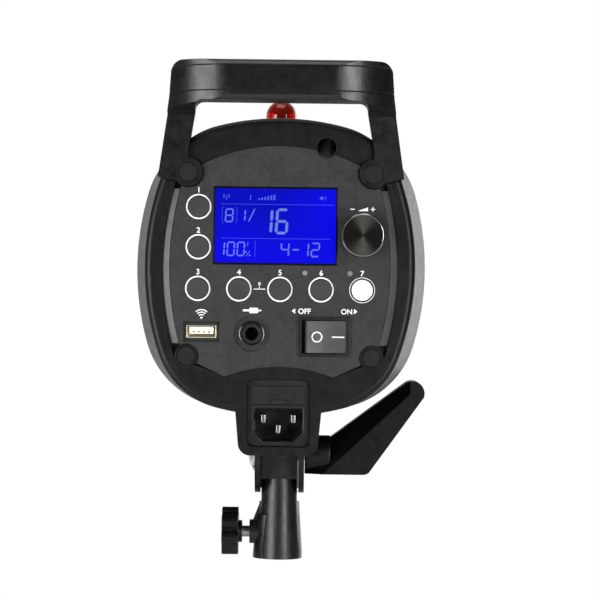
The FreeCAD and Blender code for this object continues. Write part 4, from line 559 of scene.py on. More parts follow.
PORT_TONGUE = Moulding("port_tongue", (0.86, 0.83, 0.7), 0.4, 0.4, wear=0.0)
PORT_LINER = Moulding("port_liner", (0.012, 0.012, 0.012), 0.35, 0.4, wear=0.0)
JACK_PLASTIC = Moulding("jack_plastic", (0.012, 0.012, 0.012), 0.3, 0.5, depth=0.004 * MM)
JACK_METAL = Metal("jack_nut_black_nickel", (0.11, 0.11, 0.11), 0.24)
SWITCH_PLASTIC = Moulding("switch_plastic", (0.008, 0.008, 0.0085), 0.34, 0.4, depth=0.008 * MM)
ROCKER_PLASTIC = Moulding("rocker_plastic", (0.046, 0.044, 0.045), 0.45, 0.35, depth=0.01 * MM, fleck=0.2)
INLET_PLASTIC = Moulding("inlet_plastic", (0.0125, 0.012, 0.0125), 0.32, 0.4, depth=0.008 * MM)
PIN_METAL = Metal("pin_nickel", (0.5, 0.49, 0.46), 0.28, Lay.ALONG_Y)
TUBE_METAL = Metal("umbrella_tube_black", (0.05, 0.05, 0.05), 0.4, Lay.ALONG_Y)
SENSOR_RED = ClearGlass("sensor_red", (0.8, 0.045, 0.006), 0.04, 1.5, clearness=0.86)
SENSOR_SEAT = Moulding("sensor_seat", (0.02, 0.02, 0.02), 0.5)
ZINC = Metal("zinc_sheet", (0.55, 0.56, 0.56), 0.42, Lay.ALONG_X, 0.25)
CAN_SLEEVE = Moulding("capacitor_sleeve", (0.02, 0.035, 0.09), 0.35, 0.5, wear=0.0)
CORE_IRON = Metal("transformer_core", (0.3, 0.27, 0.24), 0.5, Lay.ALONG_Z, 0.3)
FAN_PLASTIC = Moulding("fan_plastic", (0.014, 0.014, 0.014), 0.45, 0.4)
COLLAR_COAT = Moulding("collar_powder_coat", (0.012, 0.012, 0.0125), 0.5, 0.45, grain=0.6 * MM,
                       depth=0.03 * MM)
RING_METAL = Metal("ring_satin", (0.6, 0.6, 0.59), 0.34, Lay.NONE, 0.15)
DISH_METAL = Metal("dish_polished", (0.82, 0.82, 0.8), 0.16, Lay.NONE, 0.06)
TUBE_GLASS = ClearGlass("flash_tube_quartz", (1.0, 0.97, 0.9), 0.08, 1.46, 0.12)
LAMP_GLASS = ClearGlass("lamp_glass_frosted", (1.0, 0.98, 0.94), 0.1, 1.48, 0.3)
WHITE_CERAMIC = Ceramic("socket_ceramic", (0.8, 0.78, 0.72))
BRASS = Metal("lamp_cap_brass", (0.72, 0.55, 0.26), 0.28)
SOCKET_COAT = Moulding("socket_coat", (0.0034, 0.0042, 0.0050), 0.35, 0.45, grain=0.5 * MM, depth=0.003 * MM)
# The socket's coat again, made darker: the yoke's colour holds painted shade for the shadow that the head
# casts on it.
YOKE_COAT_WITH_PAINTED_SHADE = Moulding("yoke_coat_with_painted_shade", (0.0016, 0.0022, 0.0024), 0.4, 0.32, grain=0.5 * MM, depth=0.004 * MM,
                     wear=0.2)
CHROME = Metal("bolt_chrome", (0.7, 0.7, 0.7), 0.14)
TIP_BRASS = Metal("tip_brass", (0.6, 0.45, 0.2), 0.35)
GRIP_PLASTIC = Moulding("clamp_knob_plastic", (0.0022, 0.002, 0.0022), 0.32, 0.28, depth=0.008 * MM)
LEVER_PLASTIC = Moulding("lever_plastic", (0.0012, 0.0011, 0.0013), 0.34, 0.3, depth=0.012 * MM, fleck=0.08)
BEZEL = Moulding("display_bezel", (0.002, 0.002, 0.002), 0.2, 0.4, depth=0.001 * MM, wear=0.0)
BOARD = CircuitBoard("circuit_board", (0.01, 0.09, 0.035))
LED_LENS = Moulding("led_lens", (0.20, 0.20, 0.20), 0.3, 0.5, wear=0.0)
FUSE_GLASS = ClearGlass("fuse_glass", (0.95, 0.97, 0.97))


# ---- meshes --------------------------------------------------------------------------------------

BEVEL_STEPS = 2
FLAT_ANGLE = 0.6  # degrees within which neighbouring faces are one flat face
CAPITAL = 0.729  # height of a capital in the built-in face, as a share of the size
DRAPE_REACH = 30 * MM  # how far behind a mark the search for its ground starts
BAR_GAP = 0.12  # gap at the end of a display bar, as a share of its thickness


def new_object(name: str, data: bpy.types.ID) -> bpy.types.Object:
    """Put a mesh, curve, lamp or camera in the scene.

    Args:
        name: the object's name.
        data: what the object holds.

    Returns:
        The new object.
    """
    thing = bpy.data.objects.new(name, data)
    bpy.context.scene.collection.objects.link(thing)
    return thing


def from_bmesh(name: str, shape: Shape, smooth_angle: float = 35.0) -> bpy.types.Object:
    """Turn a working mesh into an object, smooth where it turns by less than an angle.

    Args:
        name: the object's name.
        shape: the working mesh, freed afterwards.
        smooth_angle: edges sharper than this, in degrees, stay sharp.

    Returns:
        The new object.
    """
    mesh = bpy.data.meshes.new(name)
    bmesh.ops.recalc_face_normals(shape, faces=shape.faces)
    limit = math.radians(smooth_angle)
    for face in shape.faces:
        face.smooth = True
    for edge in shape.edges:
        edge.smooth = len(edge.link_faces) == 2 and edge.calc_face_angle(0.0) < limit
    shape.to_mesh(mesh)
    shape.free()
    thing = new_object(name, mesh)
    shading = thing.modifiers.new("even_shading", "WEIGHTED_NORMAL")
    shading.keep_sharp = True
    return thing


def sharp_edges(shape: Shape, angle: float) -> list[bmesh.types.BMEdge]:
    """The edges at which two faces meet at more than an angle in degrees."""
    limit = math.radians(angle)
    return [e for e in shape.edges if len(e.link_faces) == 2 and e.calc_face_angle(0.0) > limit]


def bevel(shape: Shape, width: float, angle: float = 35.0) -> None:
    """Round the sharp edges of a working mesh."""
    bmesh.ops.bevel(shape, geom=sharp_edges(shape, angle), offset=width, offset_type="OFFSET",
                    segments=BEVEL_STEPS, profile=0.5, affect="EDGES", clamp_overlap=True)


def welded(node: bpy.types.Object) -> Shape:
    """A working copy of a solid of the frame, welded, with its flat faces whole.

    Args:
        node: the frame's object.

    Returns:
        The working mesh.
    """
    shape = bmesh.new()
    shape.from_mesh(node.data)
    bmesh.ops.remove_doubles(shape, verts=shape.verts, dist=WELD)
    limit = math.radians(FLAT_ANGLE)
    bmesh.ops.dissolve_limit(shape, angle_limit=limit, verts=shape.verts, edges=shape.edges)
    return shape


def lathe(profile: Sequence[Point], centre: Vector, steps: int) -> Shape:
    """Turn a profile about an axis that runs along Y.

    Args:
        profile: (radius, y) pairs; a radius of 0 closes the end.
        centre: any point of the axis.
        steps: facets round the axis.

    Returns:
        The working mesh.
    """
    shape = bmesh.new()
    rings = []
    for radius, y in profile:
        if radius <= 0.0:
            rings.append([shape.verts.new((centre.x, y, centre.z))])
            continue
        angles = (2 * math.pi * k / steps for k in range(steps))
        rings.append([shape.verts.new((centre.x + radius * math.cos(a), y, centre.z + radius * math.sin(a)))
                      for a in angles])
    for first, second in zip(rings, rings[1:]):
        for k in range(steps):
            n = (k + 1) % steps
            corners = [first[k % len(first)], first[n % len(first)], second[n % len(second)],
                       second[k % len(second)]]
            loop = [v for i, v in enumerate(corners) if v is not corners[i - 1]]
            if len(set(loop)) > 2:
                shape.faces.new(loop)
    return shape


def closed_lathe(profile: Sequence[Point], centre: Vector, steps: int) -> Shape:
    """Turn a closed profile, such as a ring's section, about an axis that runs along Y."""
    return lathe([*profile, profile[0]], centre, steps)


def slab(outline: Sequence[Point], front: float, back: float) -> Shape:
    """Extrude a flat outline drawn in X and Z.

    Args:
        outline: (x, z) corners in order.
        front: the rear-facing side's y.
        back: the other side's y.

    Returns:
        The working mesh.
    """
    shape = bmesh.new()
    near = [shape.verts.new((x, front, z)) for x, z in outline]
    far = [shape.verts.new((x, back, z)) for x, z in outline]
    shape.faces.new(near)
    shape.faces.new(far[::-1])
    for k, corner in enumerate(near):
        shape.faces.new([near[k - 1], far[k - 1], far[k], corner])
    return shape


def rounded(width: float, height: float, radius: float, centre: Point, steps: int = 6) -> Outline:
    """The outline of a rectangle with round corners.

    Args:
        width: size along X.
        height: size along Z.
        radius: corner radius.
        centre: middle of the rectangle.
        steps: facets of each corner.

    Returns:
        (x, z) corners, anticlockwise.
    """
    corners = []
    for quarter, (side, rise) in enumerate(((1, 1), (-1, 1), (-1, -1), (1, -1))):
        x = centre[0] + side * (width / 2 - radius)
        z = centre[1] + rise * (height / 2 - radius)
        for k in range(steps + 1):
            angle = math.pi / 2 * (quarter + k / steps)
            corners.append((x + radius * math.cos(angle), z + radius * math.sin(angle)))
    return corners


def circle(centre: Point, radius: float, steps: int, start: float = 0.0, turn: float = 360.0) -> Outline:
    """Points of a circle or an arc.

    Args:
        centre: middle of the circle.
        radius: its radius.
        steps: how many chords.
        start: angle of the first point in degrees, from +X towards +Z.
        turn: angle that the arc covers.

    Returns:
        (x, z) points; a full circle's last point is left out.
    """
    count = steps if turn >= 360.0 else steps + 1
    angles = [math.radians(start + turn * k / steps) for k in range(count)]
    return [(centre[0] + radius * math.cos(a), centre[1] + radius * math.sin(a)) for a in angles]


def ribbon(line: Sequence[Point], width: float) -> Outline:
    """The outline of a stroke of even width that follows a line.

    Args:
        line: (x, z) points along the middle.
        width: stroke width.

    Returns:
        The stroke's outline.
    """
    left, right = [], []
    for k, here in enumerate(line):
        ahead = Vector(line[min(k + 1, len(line) - 1)]) - Vector(line[max(k - 1, 0)])
        across = Vector((-ahead.y, ahead.x)).normalized() * width / 2
        left.append((here[0] + across.x, here[1] + across.y))
        right.append((here[0] - across.x, here[1] - across.y))
    return left + right[::-1]


def joined(shapes: Iterable[Shape]) -> Shape:
    """Put several working meshes in one.

    Args:
        shapes: the meshes, which are freed.

    Returns:
        The mesh that holds them all.
    """
    whole = bmesh.new()
    for shape in shapes:
        part = bpy.data.meshes.new("part")
        shape.to_mesh(part)
        shape.free()
        whole.from_mesh(part)
        bpy.data.meshes.remove(part)
    return whole


def loft(rings: Sequence[Sequence[Sequence[float]]]) -> Shape:
    """A solid between closed rings of corners that follow each other.

    Args:
        rings: the corners of each ring, the same number in all.

    Returns:
        The working mesh.
    """
    shape = bmesh.new()
    rows = [[shape.verts.new(corner) for corner in ring] for ring in rings]
    shape.faces.new(rows[0][::-1])
    shape.faces.new(rows[-1])
    for first, second in zip(rows, rows[1:]):
        for k, corner in enumerate(first):
            shape.faces.new([first[k - 1], corner, second[k], second[k - 1]])
    return shape


def hoop(outer: Sequence[Point], inner: Sequence[Point], front: float, back: float) -> Shape:
    """Extrude the band between two outlines that have the same number of corners.

    Args:
        outer: (x, z) corners of the outer outline.
        inner: the corners of the inner one.
        front: the rear-facing side's y.
        back: the other side's y.

    Returns:
        The working mesh, whose walls still meet edge to edge.
    """
    corners = range(len(outer))
    return joined(slab([outer[k - 1], outer[k], inner[k], inner[k - 1]], front, back) for k in corners)


def lettering(text: str, height: float, centre: Point, front: float, thickness: float,
              weight: float) -> Shape:
    """Numbers or signs in a plain sans face, standing on a plane that looks to the rear.

    Args:
        text: what is written.
        height: height of a capital.
        centre: middle of the line of text, in X and Z.
        front: the rear-facing side's y.
        thickness: how far it stands off its ground.
        weight: how much bolder than the plain face, as a share of the height.

    Returns:
        The working mesh.
    """
    curve = bpy.data.curves.new("lettering", "FONT")
    curve.body = text
    curve.align_x = "CENTER"
    curve.offset = weight
    curve.resolution_u = 6
    holder = new_object("lettering", curve)
    flat = bpy.data.meshes.new_from_object(holder)
    bpy.data.objects.remove(holder)
    bpy.data.curves.remove(curve)
    shape = bmesh.new()
    shape.from_mesh(flat)
    bpy.data.meshes.remove(flat)
    size = height / CAPITAL
    middle = (max(v.co.x for v in shape.verts) + min(v.co.x for v in shape.verts)) / 2
    for vertex in shape.verts:
        x, y = vertex.co.x - middle, vertex.co.y - CAPITAL / 2
        vertex.co = Vector((centre[0] + x * size, front, centre[1] + y * size))
    bmesh.ops.remove_doubles(shape, verts=shape.verts, dist=SAME_PLACE)
    raised = bmesh.ops.extrude_face_region(shape, geom=shape.faces[:])
    moved = [v for v in raised["geom"] if isinstance(v, bmesh.types.BMVert)]
    bmesh.ops.translate(shape, verts=moved, vec=(0.0, thickness, 0.0))
    return shape


def drape(shape: Shape, ground: BVHTree, lift: float) -> Shape:
    """Lay a flat mark on a surface, as seen from the rear.

    Args:
        shape: the mark, whose corners further back lie on the surface.
        ground: the surface.
        lift: how far the mark's face stands off it.

    Returns:
        The same working mesh.
    """
    middle = sum(v.co.y for v in shape.verts) / len(shape.verts)
    for vertex in shape.verts:
        start = Vector((vertex.co.x, vertex.co.y - DRAPE_REACH, vertex.co.z))
        hit = ground.ray_cast(start, Vector((0.0, 1.0, 0.0)))[0]
        if hit is not None:
            vertex.co.y = hit.y - (lift if vertex.co.y < middle else 0.0)
    return shape


class Segment(Enum):
    """The seven bars of a display digit, as (x, z, is upright) in half widths and half heights."""

    TOP = (0.0, 1.0, False)
    UPPER_RIGHT = (1.0, 0.5, True)
    LOWER_RIGHT = (1.0, -0.5, True)
    BOTTOM = (0.0, -1.0, False)
    LOWER_LEFT = (-1.0, -0.5, True)
    UPPER_LEFT = (-1.0, 0.5, True)
    MIDDLE = (0.0, 0.0, False)


DIGIT_BARS: dict[str, str] = {
    "0": "TOP UPPER_RIGHT LOWER_RIGHT BOTTOM LOWER_LEFT UPPER_LEFT",
    "1": "UPPER_RIGHT LOWER_RIGHT",
    "2": "TOP UPPER_RIGHT MIDDLE LOWER_LEFT BOTTOM",
    "4": "UPPER_LEFT MIDDLE UPPER_RIGHT LOWER_RIGHT",
    "6": "TOP UPPER_LEFT MIDDLE LOWER_LEFT LOWER_RIGHT BOTTOM",
    "8": "TOP UPPER_RIGHT LOWER_RIGHT BOTTOM LOWER_LEFT UPPER_LEFT MIDDLE",
    "-": "MIDDLE",
}


def digit_bars(sign: str, centre: Point, size: Point, stroke: float, lean: float) -> list[Outline]:
    """The outlines of one seven-bar digit.

    Args:
        sign: the digit.
        centre: its middle.
        size: its width and height.
        stroke: thickness of a bar.
        lean: how far the digit leans, as a share of its height.

    Returns:
        One pointed outline for each lit bar.
    """
    half_wide, half_high = (size[0] - stroke) / 2, (size[1] - stroke) / 2
    outlines = []
    for name in DIGIT_BARS[sign].split():
        x, z, upright = Segment[name].value
        reach = (half_high / 2 if upright else half_wide) - stroke * BAR_GAP
        tip = stroke / 2
        bar = [(-reach, 0.0), (-reach + tip, tip), (reach - tip, tip), (reach, 0.0), (reach - tip, -tip),
               (-reach + tip, -tip)]
        middle = (x * half_wide, z * half_high)
        turned = [((middle[0] + b, middle[1] + a) if upright else (middle[0] + a, middle[1] + b))
                  for a, b in bar]
        outlines.append([(centre[0] + a + b * lean, centre[1] + b) for a, b in turned])
    return outlines


# ---- the base of every sub-assembly --------------------------------------------------------------


@dataclass
class SubAssembly:
    """Pieces that are built and dressed together.

    The solids in kept get a finish alone. Those in edges are replaced by copies with rounded edges; a row
    holds the solid's name, its finish, the record's material slot and the width of the rounding.
    """

    frame: dict
    finishes: Finishes
    kept: tuple[tuple[str, Finish], ...] = ()
    edges: tuple[tuple[str, Finish, str, float], ...] = ()
    pieces: list[bpy.types.Object] = field(default_factory=list)

    def build(self) -> None:
        """Round the edges of the solids in edges and dress those in kept."""
        for row in self.edges:
            self.edged(*row)
        for node, finish in self.kept:
            self.dress(self.frame["nodes"][node], finish)

    def dress(self, piece: bpy.types.Object, finish: Finish) -> None:
        """Give a piece its finish and take it up.

        Args:
            piece: the object.
            finish: its finish.
        """
        piece.data.materials.clear()
        piece.data.materials.append(self.finishes.get(finish))
        self.pieces.append(piece)

    def add(self, piece: bpy.types.Object, finish: Finish, body: str, slot: str) -> None:
        """Dress a new piece and let it ride on a body.

        Args:
            piece: the new object.
            finish: its finish.
            body: the body's name.
            slot: the record's material slot; not used.
        """
        self.dress(piece, finish)
        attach(piece, body)

    def stand_in(self, node: str, piece: bpy.types.Object, finish: Finish, slot: str) -> None:
        """Let a new piece take the place of a solid, on the same body."""
        self.add(piece, finish, self.frame["nodes"][node]["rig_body"], slot)
        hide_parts(node)

    def edged(self, node: str, finish: Finish, slot: str, width: float, angle: float = 35.0,
              shaping: Callable[[Shape], None] | None = None) -> bpy.types.Object:
        """Replace a solid by a copy of it whose sharp edges are rounded.

        Args:
            node: the solid's name.
            finish: its finish.
            slot: the record's material slot.
            width: width of the rounding.
            angle: edges sharper than this are rounded, in degrees.
            shaping: what else is done to the copy before its edges are rounded.

        Returns:
            The new piece.
        """
        shape = welded(self.frame["nodes"][node])
        if shaping:
            shaping(shape)
        bevel(shape, width, angle)
        piece = from_bmesh(f"{node}_edged", shape)
        self.stand_in(node, piece, finish, slot)
        return piece

    def middle(self, node: str) -> Vector:
        """The middle of a node."""
        low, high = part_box(node)
        return (low + high) / 2

    def seen_middle(self, node: str) -> Point:
        """The middle of a node as seen from the rear, in X and Z."""
        low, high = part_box(node)
        return ((low.x + high.x) / 2, (low.z + high.z) / 2)

    def report(self) -> None:
        """Log each piece of the sub-assembly."""
        for piece in self.pieces:
            LOG.info("%s: %s, %d faces", type(self).__name__, piece.name, len(piece.data.polygons))


# ---- the head's shells ---------------------------------------------------------------------------


@dataclass
class Housing(SubAssembly):
    """The two half shells round the works, and the vents in their sides."""

    edges: tuple = (("housing_upper", COVER, "case_black", 0.35 * MM),
                    ("housing_lower", COVER, "case_black", 0.35 * MM))
    kept: tuple = (("vent_grille_left", VENT), ("vent_grille_right", VENT))


@dataclass
class RearCover(SubAssembly):
    """The tapering rear cover, its screws and the rubber caps over them."""

    edges: tuple = (("rear_cover", COVER, "case_black", 0.35 * MM),
                    ("screw_caps", CAP_RUBBER, "rubber_black", 0.35 * MM))
    kept: tuple = (("case_screws", STEEL),)


@dataclass
class Handle(SubAssembly):
    """The moulded handle, with the two parting lines that run round its grip."""

    edge: float = 0.8 * MM
    sharp_angle: float = 30.0
    line_width: float = 0.35 * MM
    line_depth: float = 0.3 * MM
    upper_line: float = 2.9 * MM
    lower_line: float = 4.4 * MM
    grip_height: float = 19.5 * MM
    least_slope: float = 0.1

    def build(self) -> None:
        """Cut the parting lines, round the edges and dress the handle."""
        self.edged("handle", HANDLE, "handle_black", self.edge, self.sharp_angle, self.cut_lines)

    def cut_lines(self, shape: Shape) -> None:
        """Press a thin V groove round the grip at both parting lines.

        Args:
            shape: the handle's working mesh.
        """
        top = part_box("handle")[1].z
        for level in (top - self.upper_line, top - self.grip_height + self.lower_line):
            for shift in (-self.line_width, 0.0, self.line_width):
                bmesh.ops.bisect_plane(shape, geom=shape.verts[:] + shape.edges[:] + shape.faces[:], dist=CUT,
                                       plane_co=(0, 0, level + shift), plane_no=(0, 0, 1))
            shape.normal_update()
            ring = [v for v in shape.verts if abs(v.co.z - level) < SAME_PLACE]
            for vertex in ring:
                inward = Vector((vertex.normal.x, vertex.normal.y, 0.0))
                if inward.length > self.least_slope:
                    vertex.co -= inward.normalized() * self.line_depth


# ---- the control panel ---------------------------------------------------------------------------

KEY_NODES = ("button_receiver", "button_group", "button_mode", "button_slave", "button_beep", "button_lamp",
             "button_test")


@dataclass
class ControlPanel(SubAssembly):
    """The control panel's plate and the boards behind it."""

    edges: tuple = (("control_panel", PANEL, "panel_charcoal", 0.25 * MM),)
    kept: tuple = (("control_board", BOARD), ("indicator_leds", LED_LENS))


@dataclass
class SideTrims(SubAssembly):
    """The two satin strips that slant down from the panel's sides to the floor of its groove."""

    gap: float = 0.2 * MM
    width: float = 4.45 * MM
    inner_sink: float = 0.3 * MM
    outer_sink: float = 2.45 * MM
    floor_sink: float = 3.9 * MM
    upper_end: float = 38.0 * MM
    lower_end: float = 38.0 * MM
    stations: int = 40
    least_out: float = 48 * MM
    face_reach: float = 0.05 * MM
    rounding: float = 0.25 * MM
    sharp_angle: float = 30.0

    def build(self) -> None:
        """Build both strips along the panel's own side edges."""
        panel = self.frame["nodes"]["control_panel"]
        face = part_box("control_panel")[0].y
        low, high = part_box("mount_ring")
        level = (low.z + high.z) / 2
        for side, name in ((-1, "side_trim_left"), (1, "side_trim_right")):
            edge = sorted((v.co.z, v.co.x) for v in panel.data.vertices
                          if abs(v.co.y - face) < self.face_reach and v.co.x * side > self.least_out)
            self.add(from_bmesh(name, self.strip(edge, side, face, level)), TRIM, "head", "panel_charcoal")

    def edge_at(self, edge: Sequence[Point], z: float) -> float:
        """How far out the panel's edge lies at a height.

        Args:
            edge: (z, x) points of the panel's edge, in order.
            z: the height.

        Returns:
            The edge's x.
        """
        below = [p for p in edge if p[0] <= z][-1]
        above = [p for p in edge if p[0] > z][0]
        share = (z - below[0]) / (above[0] - below[0])
        return below[1] + share * (above[1] - below[1])

    def strip(self, edge: Sequence[Point], side: int, face: float, level: float) -> Shape:
        """Build one strip.

        Args:
            edge: (z, x) points of the panel's edge, in order.
            side: -1 for the left and 1 for the right.
            face: the panel face's y.
            level: height of the head's axis.

        Returns:
            The strip's working mesh.
        """
        section = [(self.gap, face + self.inner_sink), (self.width, face + self.outer_sink),
                   (self.width, face + self.floor_sink), (self.gap, face + self.floor_sink)]
        rings = []
        for k in range(self.stations + 1):
            z = level - self.lower_end + (self.lower_end + self.upper_end) * k / self.stations
            x = self.edge_at(edge, z)
            rings.append([(x + side * out, y, z) for out, y in section])
        shape = loft(rings)
        bmesh.ops.recalc_face_normals(shape, faces=shape.faces)
        bevel(shape, self.rounding, self.sharp_angle)
        return shape


@dataclass
class Display(SubAssembly):
    """The backlit display: a dark window with the lit field, its lines and its digits on it.

    Marks are placed in millimetres, counted from a point a little right of and above the window's middle.
    """

    edges: tuple = (("lcd_window", BEZEL, "display_blue", 0.2 * MM),)
    kept: tuple = (("lcd_module", GREY_PLASTIC),)
    border: float = 0.85 * MM
    corner: float = 0.9 * MM
    film: float = 0.02 * MM
    marks_right: float = 0.85
    marks_up: float = 0.65
    lean: float = 0.06
    pitch: float = 1.2
    rule: float = 0.16
    bracket: float = 0.14
    bracket_end: float = 0.9
    wave: float = 0.22
    bar_count: int = 6
    bar_pitch: float = 1.5
    bar_width: float = 0.85
    bar_first: float = 0.8
    bar_growth: float = 0.38
    small: float = 0.75
    tiny: float = 0.4
    large: float = 1.35

    def build(self) -> None:
        """Build the window, the lit field and all its marks."""
        super().build()
        low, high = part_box("lcd_window")
        self.centre = self.seen_middle("lcd_window")
        self.front = low.y
        size = (high.x - low.x - 2 * self.border, high.z - low.z - 2 * self.border)
        glow = Backlight("display_backlight", (0.001, 0.003, 0.46), (0.002, 0.002, 0.76),
                         size[0] / 2, size[1] / 2, self.centre)
        plate = slab(rounded(*size, self.corner, self.centre), self.front - self.film, self.front + self.film)
        self.add(from_bmesh("display_field", plate), glow, "head", "display_blue")
        self.lay_marks("display_lines", DISPLAY_FAINT, self.lines())
        self.lay_marks("display_small_digits", DISPLAY_SMALL, self.small_digits())
        reading = self.number("16", -1.5, 1.6, 6.4, 12.8, self.large)
        self.lay_marks("display_large_digits", DISPLAY_LARGE, reading)

    def at(self, x: float, z: float) -> Point:
        """A point of the display, from millimetres right of and above the marks' own middle."""
        return (self.centre[0] + (x + self.marks_right) * MM, self.centre[1] + (z + self.marks_up) * MM)

    def line(self, x: float, z: float, to_x: float, to_z: float, width: float) -> Outline:
        """A stroke between two points, all in millimetres."""
        return ribbon([self.at(x, z), self.at(to_x, to_z)], width * MM)

    def lay_marks(self, name: str, ink: Ink, outlines: Iterable[Outline]) -> None:
        """Add one piece of marks over the lit field."""
        marks = joined(slab(outline, self.front - 2 * self.film, self.front) for outline in outlines)
        self.add(from_bmesh(name, marks), ink, "head", "display_blue")

    def lines(self) -> list[Outline]:
        """The faint rules, brackets and signs."""
        return [
            self.line(-27.4, 9.85, 27.8, 9.85, self.rule), self.line(-27.4, -6.9, 26.2, -6.9, self.rule),
            self.line(-10.7, -8.2, -10.7, -16.2, self.rule), *self.corner_marks(-23.4, 4.4, 3.6),
            *self.aerial(-25.0, 13.4), *self.speaker(22.0, 13.2), *self.level_bars(-9.4, 12.0),
        ]

    def small_digits(self) -> list[Outline]:
        """The small digits and the signs between them."""
        return [
            *self.number("8", -23.5, 4.3, 4.2, 6.9, self.small),
            *self.number("1", -17.4, 4.4, 4.0, 6.2, self.small), self.line(-14.0, 1.3, -11.0, 7.6, 0.6),
            *self.number("100", -22.6, -12.1, 4.1, 7.2, self.small),
            *self.number("1", -14.9, -9.7, 1.6, 2.6, self.tiny), *self.percent(-14.2, -14.4),
            *self.number("4-", 6.6, -12.2, 4.4, 7.2, self.small),
            *self.number("12", 16.2, -12.2, 4.4, 7.2, self.small),
            *self.number("1", -13.8, 13.1, 1.6, 2.8, self.tiny),
        ]

    def number(self, text: str, x: float, z: float, width: float, height: float,
               stroke: float) -> list[Outline]:
        """The bars of a row of digits.

        Args:
            text: the digits.
            x: middle of the row, in millimetres right of the display's middle.
            z: middle of the row, in millimetres above it.
            width: width of a digit in millimetres.
            height: height of a digit in millimetres.
            stroke: thickness of a bar in millimetres.

        Returns:
            The outlines of all bars.
        """
        outlines = []
        for place, sign in enumerate(text):
            middle = self.at(x + (place - (len(text) - 1) / 2) * (width * self.pitch), z)
            outlines += digit_bars(sign, middle, (width * MM, height * MM), stroke * MM, self.lean)
        return outlines

    def percent(self, x: float, z: float) -> list[Outline]:
        """A small percent sign."""
        dots = [circle(self.at(x + side * 0.9, z + side * -0.8), 0.42 * MM, 12) for side in (-1, 1)]
        return [*dots, self.line(x - 1.0, z - 1.3, x + 1.0, z + 1.3, 0.3)]

    def corner_marks(self, x: float, z: float, half: float) -> list[Outline]:
        """Two brackets at the sides of a digit.

        Args:
            x: the digit's middle, in millimetres.
            z: the same upwards.
            half: half the brackets' height and distance.

        Returns:
            The outlines of the strokes.
        """
        strokes = []
        for side in (-1, 1):
            edge = x + side * half
            strokes.append(self.line(edge, z - half, edge, z + half, self.bracket))
            for level in (z - half, z + half):
                strokes.append(self.line(edge, level, edge - side * self.bracket_end, level, self.bracket))
        return strokes

    def arc(self, x: float, z: float, radius: float, start: float, turn: float) -> Outline:
        """An arc about a point, in millimetres, from an angle on."""
        return ribbon(circle(self.at(x, z), radius * MM, 8, start, turn), self.wave * MM)

    def aerial(self, x: float, z: float) -> list[Outline]:
        """A small aerial with waves at both sides."""
        waves = [self.arc(x, z + 0.4, radius, start, 90.0)
                 for radius in (0.9, 1.5) for start in (-45.0, 135.0)]
        return [self.line(x, z - 1.6, x, z + 0.4, 0.3), *waves]

    def speaker(self, x: float, z: float) -> list[Outline]:
        """A small loudspeaker sign."""
        horn = ((-1.2, -0.5), (-0.5, -0.5), (0.3, -1.2), (0.3, 1.2), (-0.5, 0.5), (-1.2, 0.5))
        return [[self.at(x + a, z + b) for a, b in horn],
                *(self.arc(x + 0.4, z, radius, -40.0, 80.0) for radius in (0.8, 1.4))]

    def level_bars(self, x: float, z: float) -> list[Outline]:
        """A row of rising level bars."""
        bars = [(x + step * self.bar_pitch, z + (self.bar_first + step * self.bar_growth))
                for step in range(self.bar_count)]
        return [[self.at(left, z), self.at(left + self.bar_width, z), self.at(left + self.bar_width, top),
                 self.at(left, top)] for left, top in bars]


@dataclass
class Keys(SubAssembly):
    """The seven round keys, each a shallow cap with a soft rim, and the rings printed round them."""

    cap_radius: float = 5.2 * MM
    rim: float = 0.5 * MM
    dish: float = 0.16 * MM
    flange_depth: float = 1.4 * MM
    cap_facets: int = 64
    ring_facets: int = 72
    rim_steps: int = 6
    face_steps: int = 8
    ink: float = 0.03 * MM
    dark_ring: Point = (5.45 * MM, 6.2 * MM)
    white_ring: Point = (6.0 * MM, 6.3 * MM)

    def build(self) -> None:
        """Build all keys and their rings."""
        panel_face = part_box("control_panel")[0].y
        rings = []
        for node in KEY_NODES:
            white = node == "button_test"
            self.cap(node, WHITE_KEY if white else KEY_CAP, "key_white" if white else "key_black")
            rings.append(self.ring(node, panel_face, *(self.white_ring if white else self.dark_ring)))
        self.add(from_bmesh("key_rings", joined(rings)), WHITE_INK, "head", "panel_charcoal")

    def cap(self, node: str, finish: Finish, slot: str) -> None:
        """Replace one key by a turned cap with a soft rim and a shallow dish.

        Args:
            node: the key's name.
            finish: its finish.
            slot: the record's material slot.
        """
        low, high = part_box(node)
        front, back, rim = low.y, high.y, self.rim
        flange = (high.x - low.x) / 2
        flat = self.cap_radius - rim
        turns = (math.radians(90 / self.rim_steps * k) for k in range(self.rim_steps + 1))
        curve = [(flat + rim * math.sin(a), front + rim - rim * math.cos(a)) for a in turns]
        shares = [k / self.face_steps for k in range(self.face_steps + 1)]
        face = [(flat * share, front + self.dish * (1 - share ** 2)) for share in shares]
        foot = back - self.flange_depth
        profile = [*face, *curve[1:], (self.cap_radius, foot), (flange, foot), (flange, back), (0.0, back)]
        cap = from_bmesh(f"{node}_cap", lathe(profile, self.middle(node), self.cap_facets))
        self.stand_in(node, cap, finish, slot)

    def ring(self, node: str, ground: float, inner: float, outer: float) -> Shape:
        """A printed ring round a key.

        Args:
            node: the key's name.
            ground: the panel face's y.
            inner: the ring's inner radius.
            outer: its outer radius.

        Returns:
            The ring's working mesh.
        """
        section = [(inner, ground), (outer, ground), (outer, ground - self.ink), (inner, ground - self.ink)]
        return closed_lathe(section, self.middle(node), self.ring_facets)


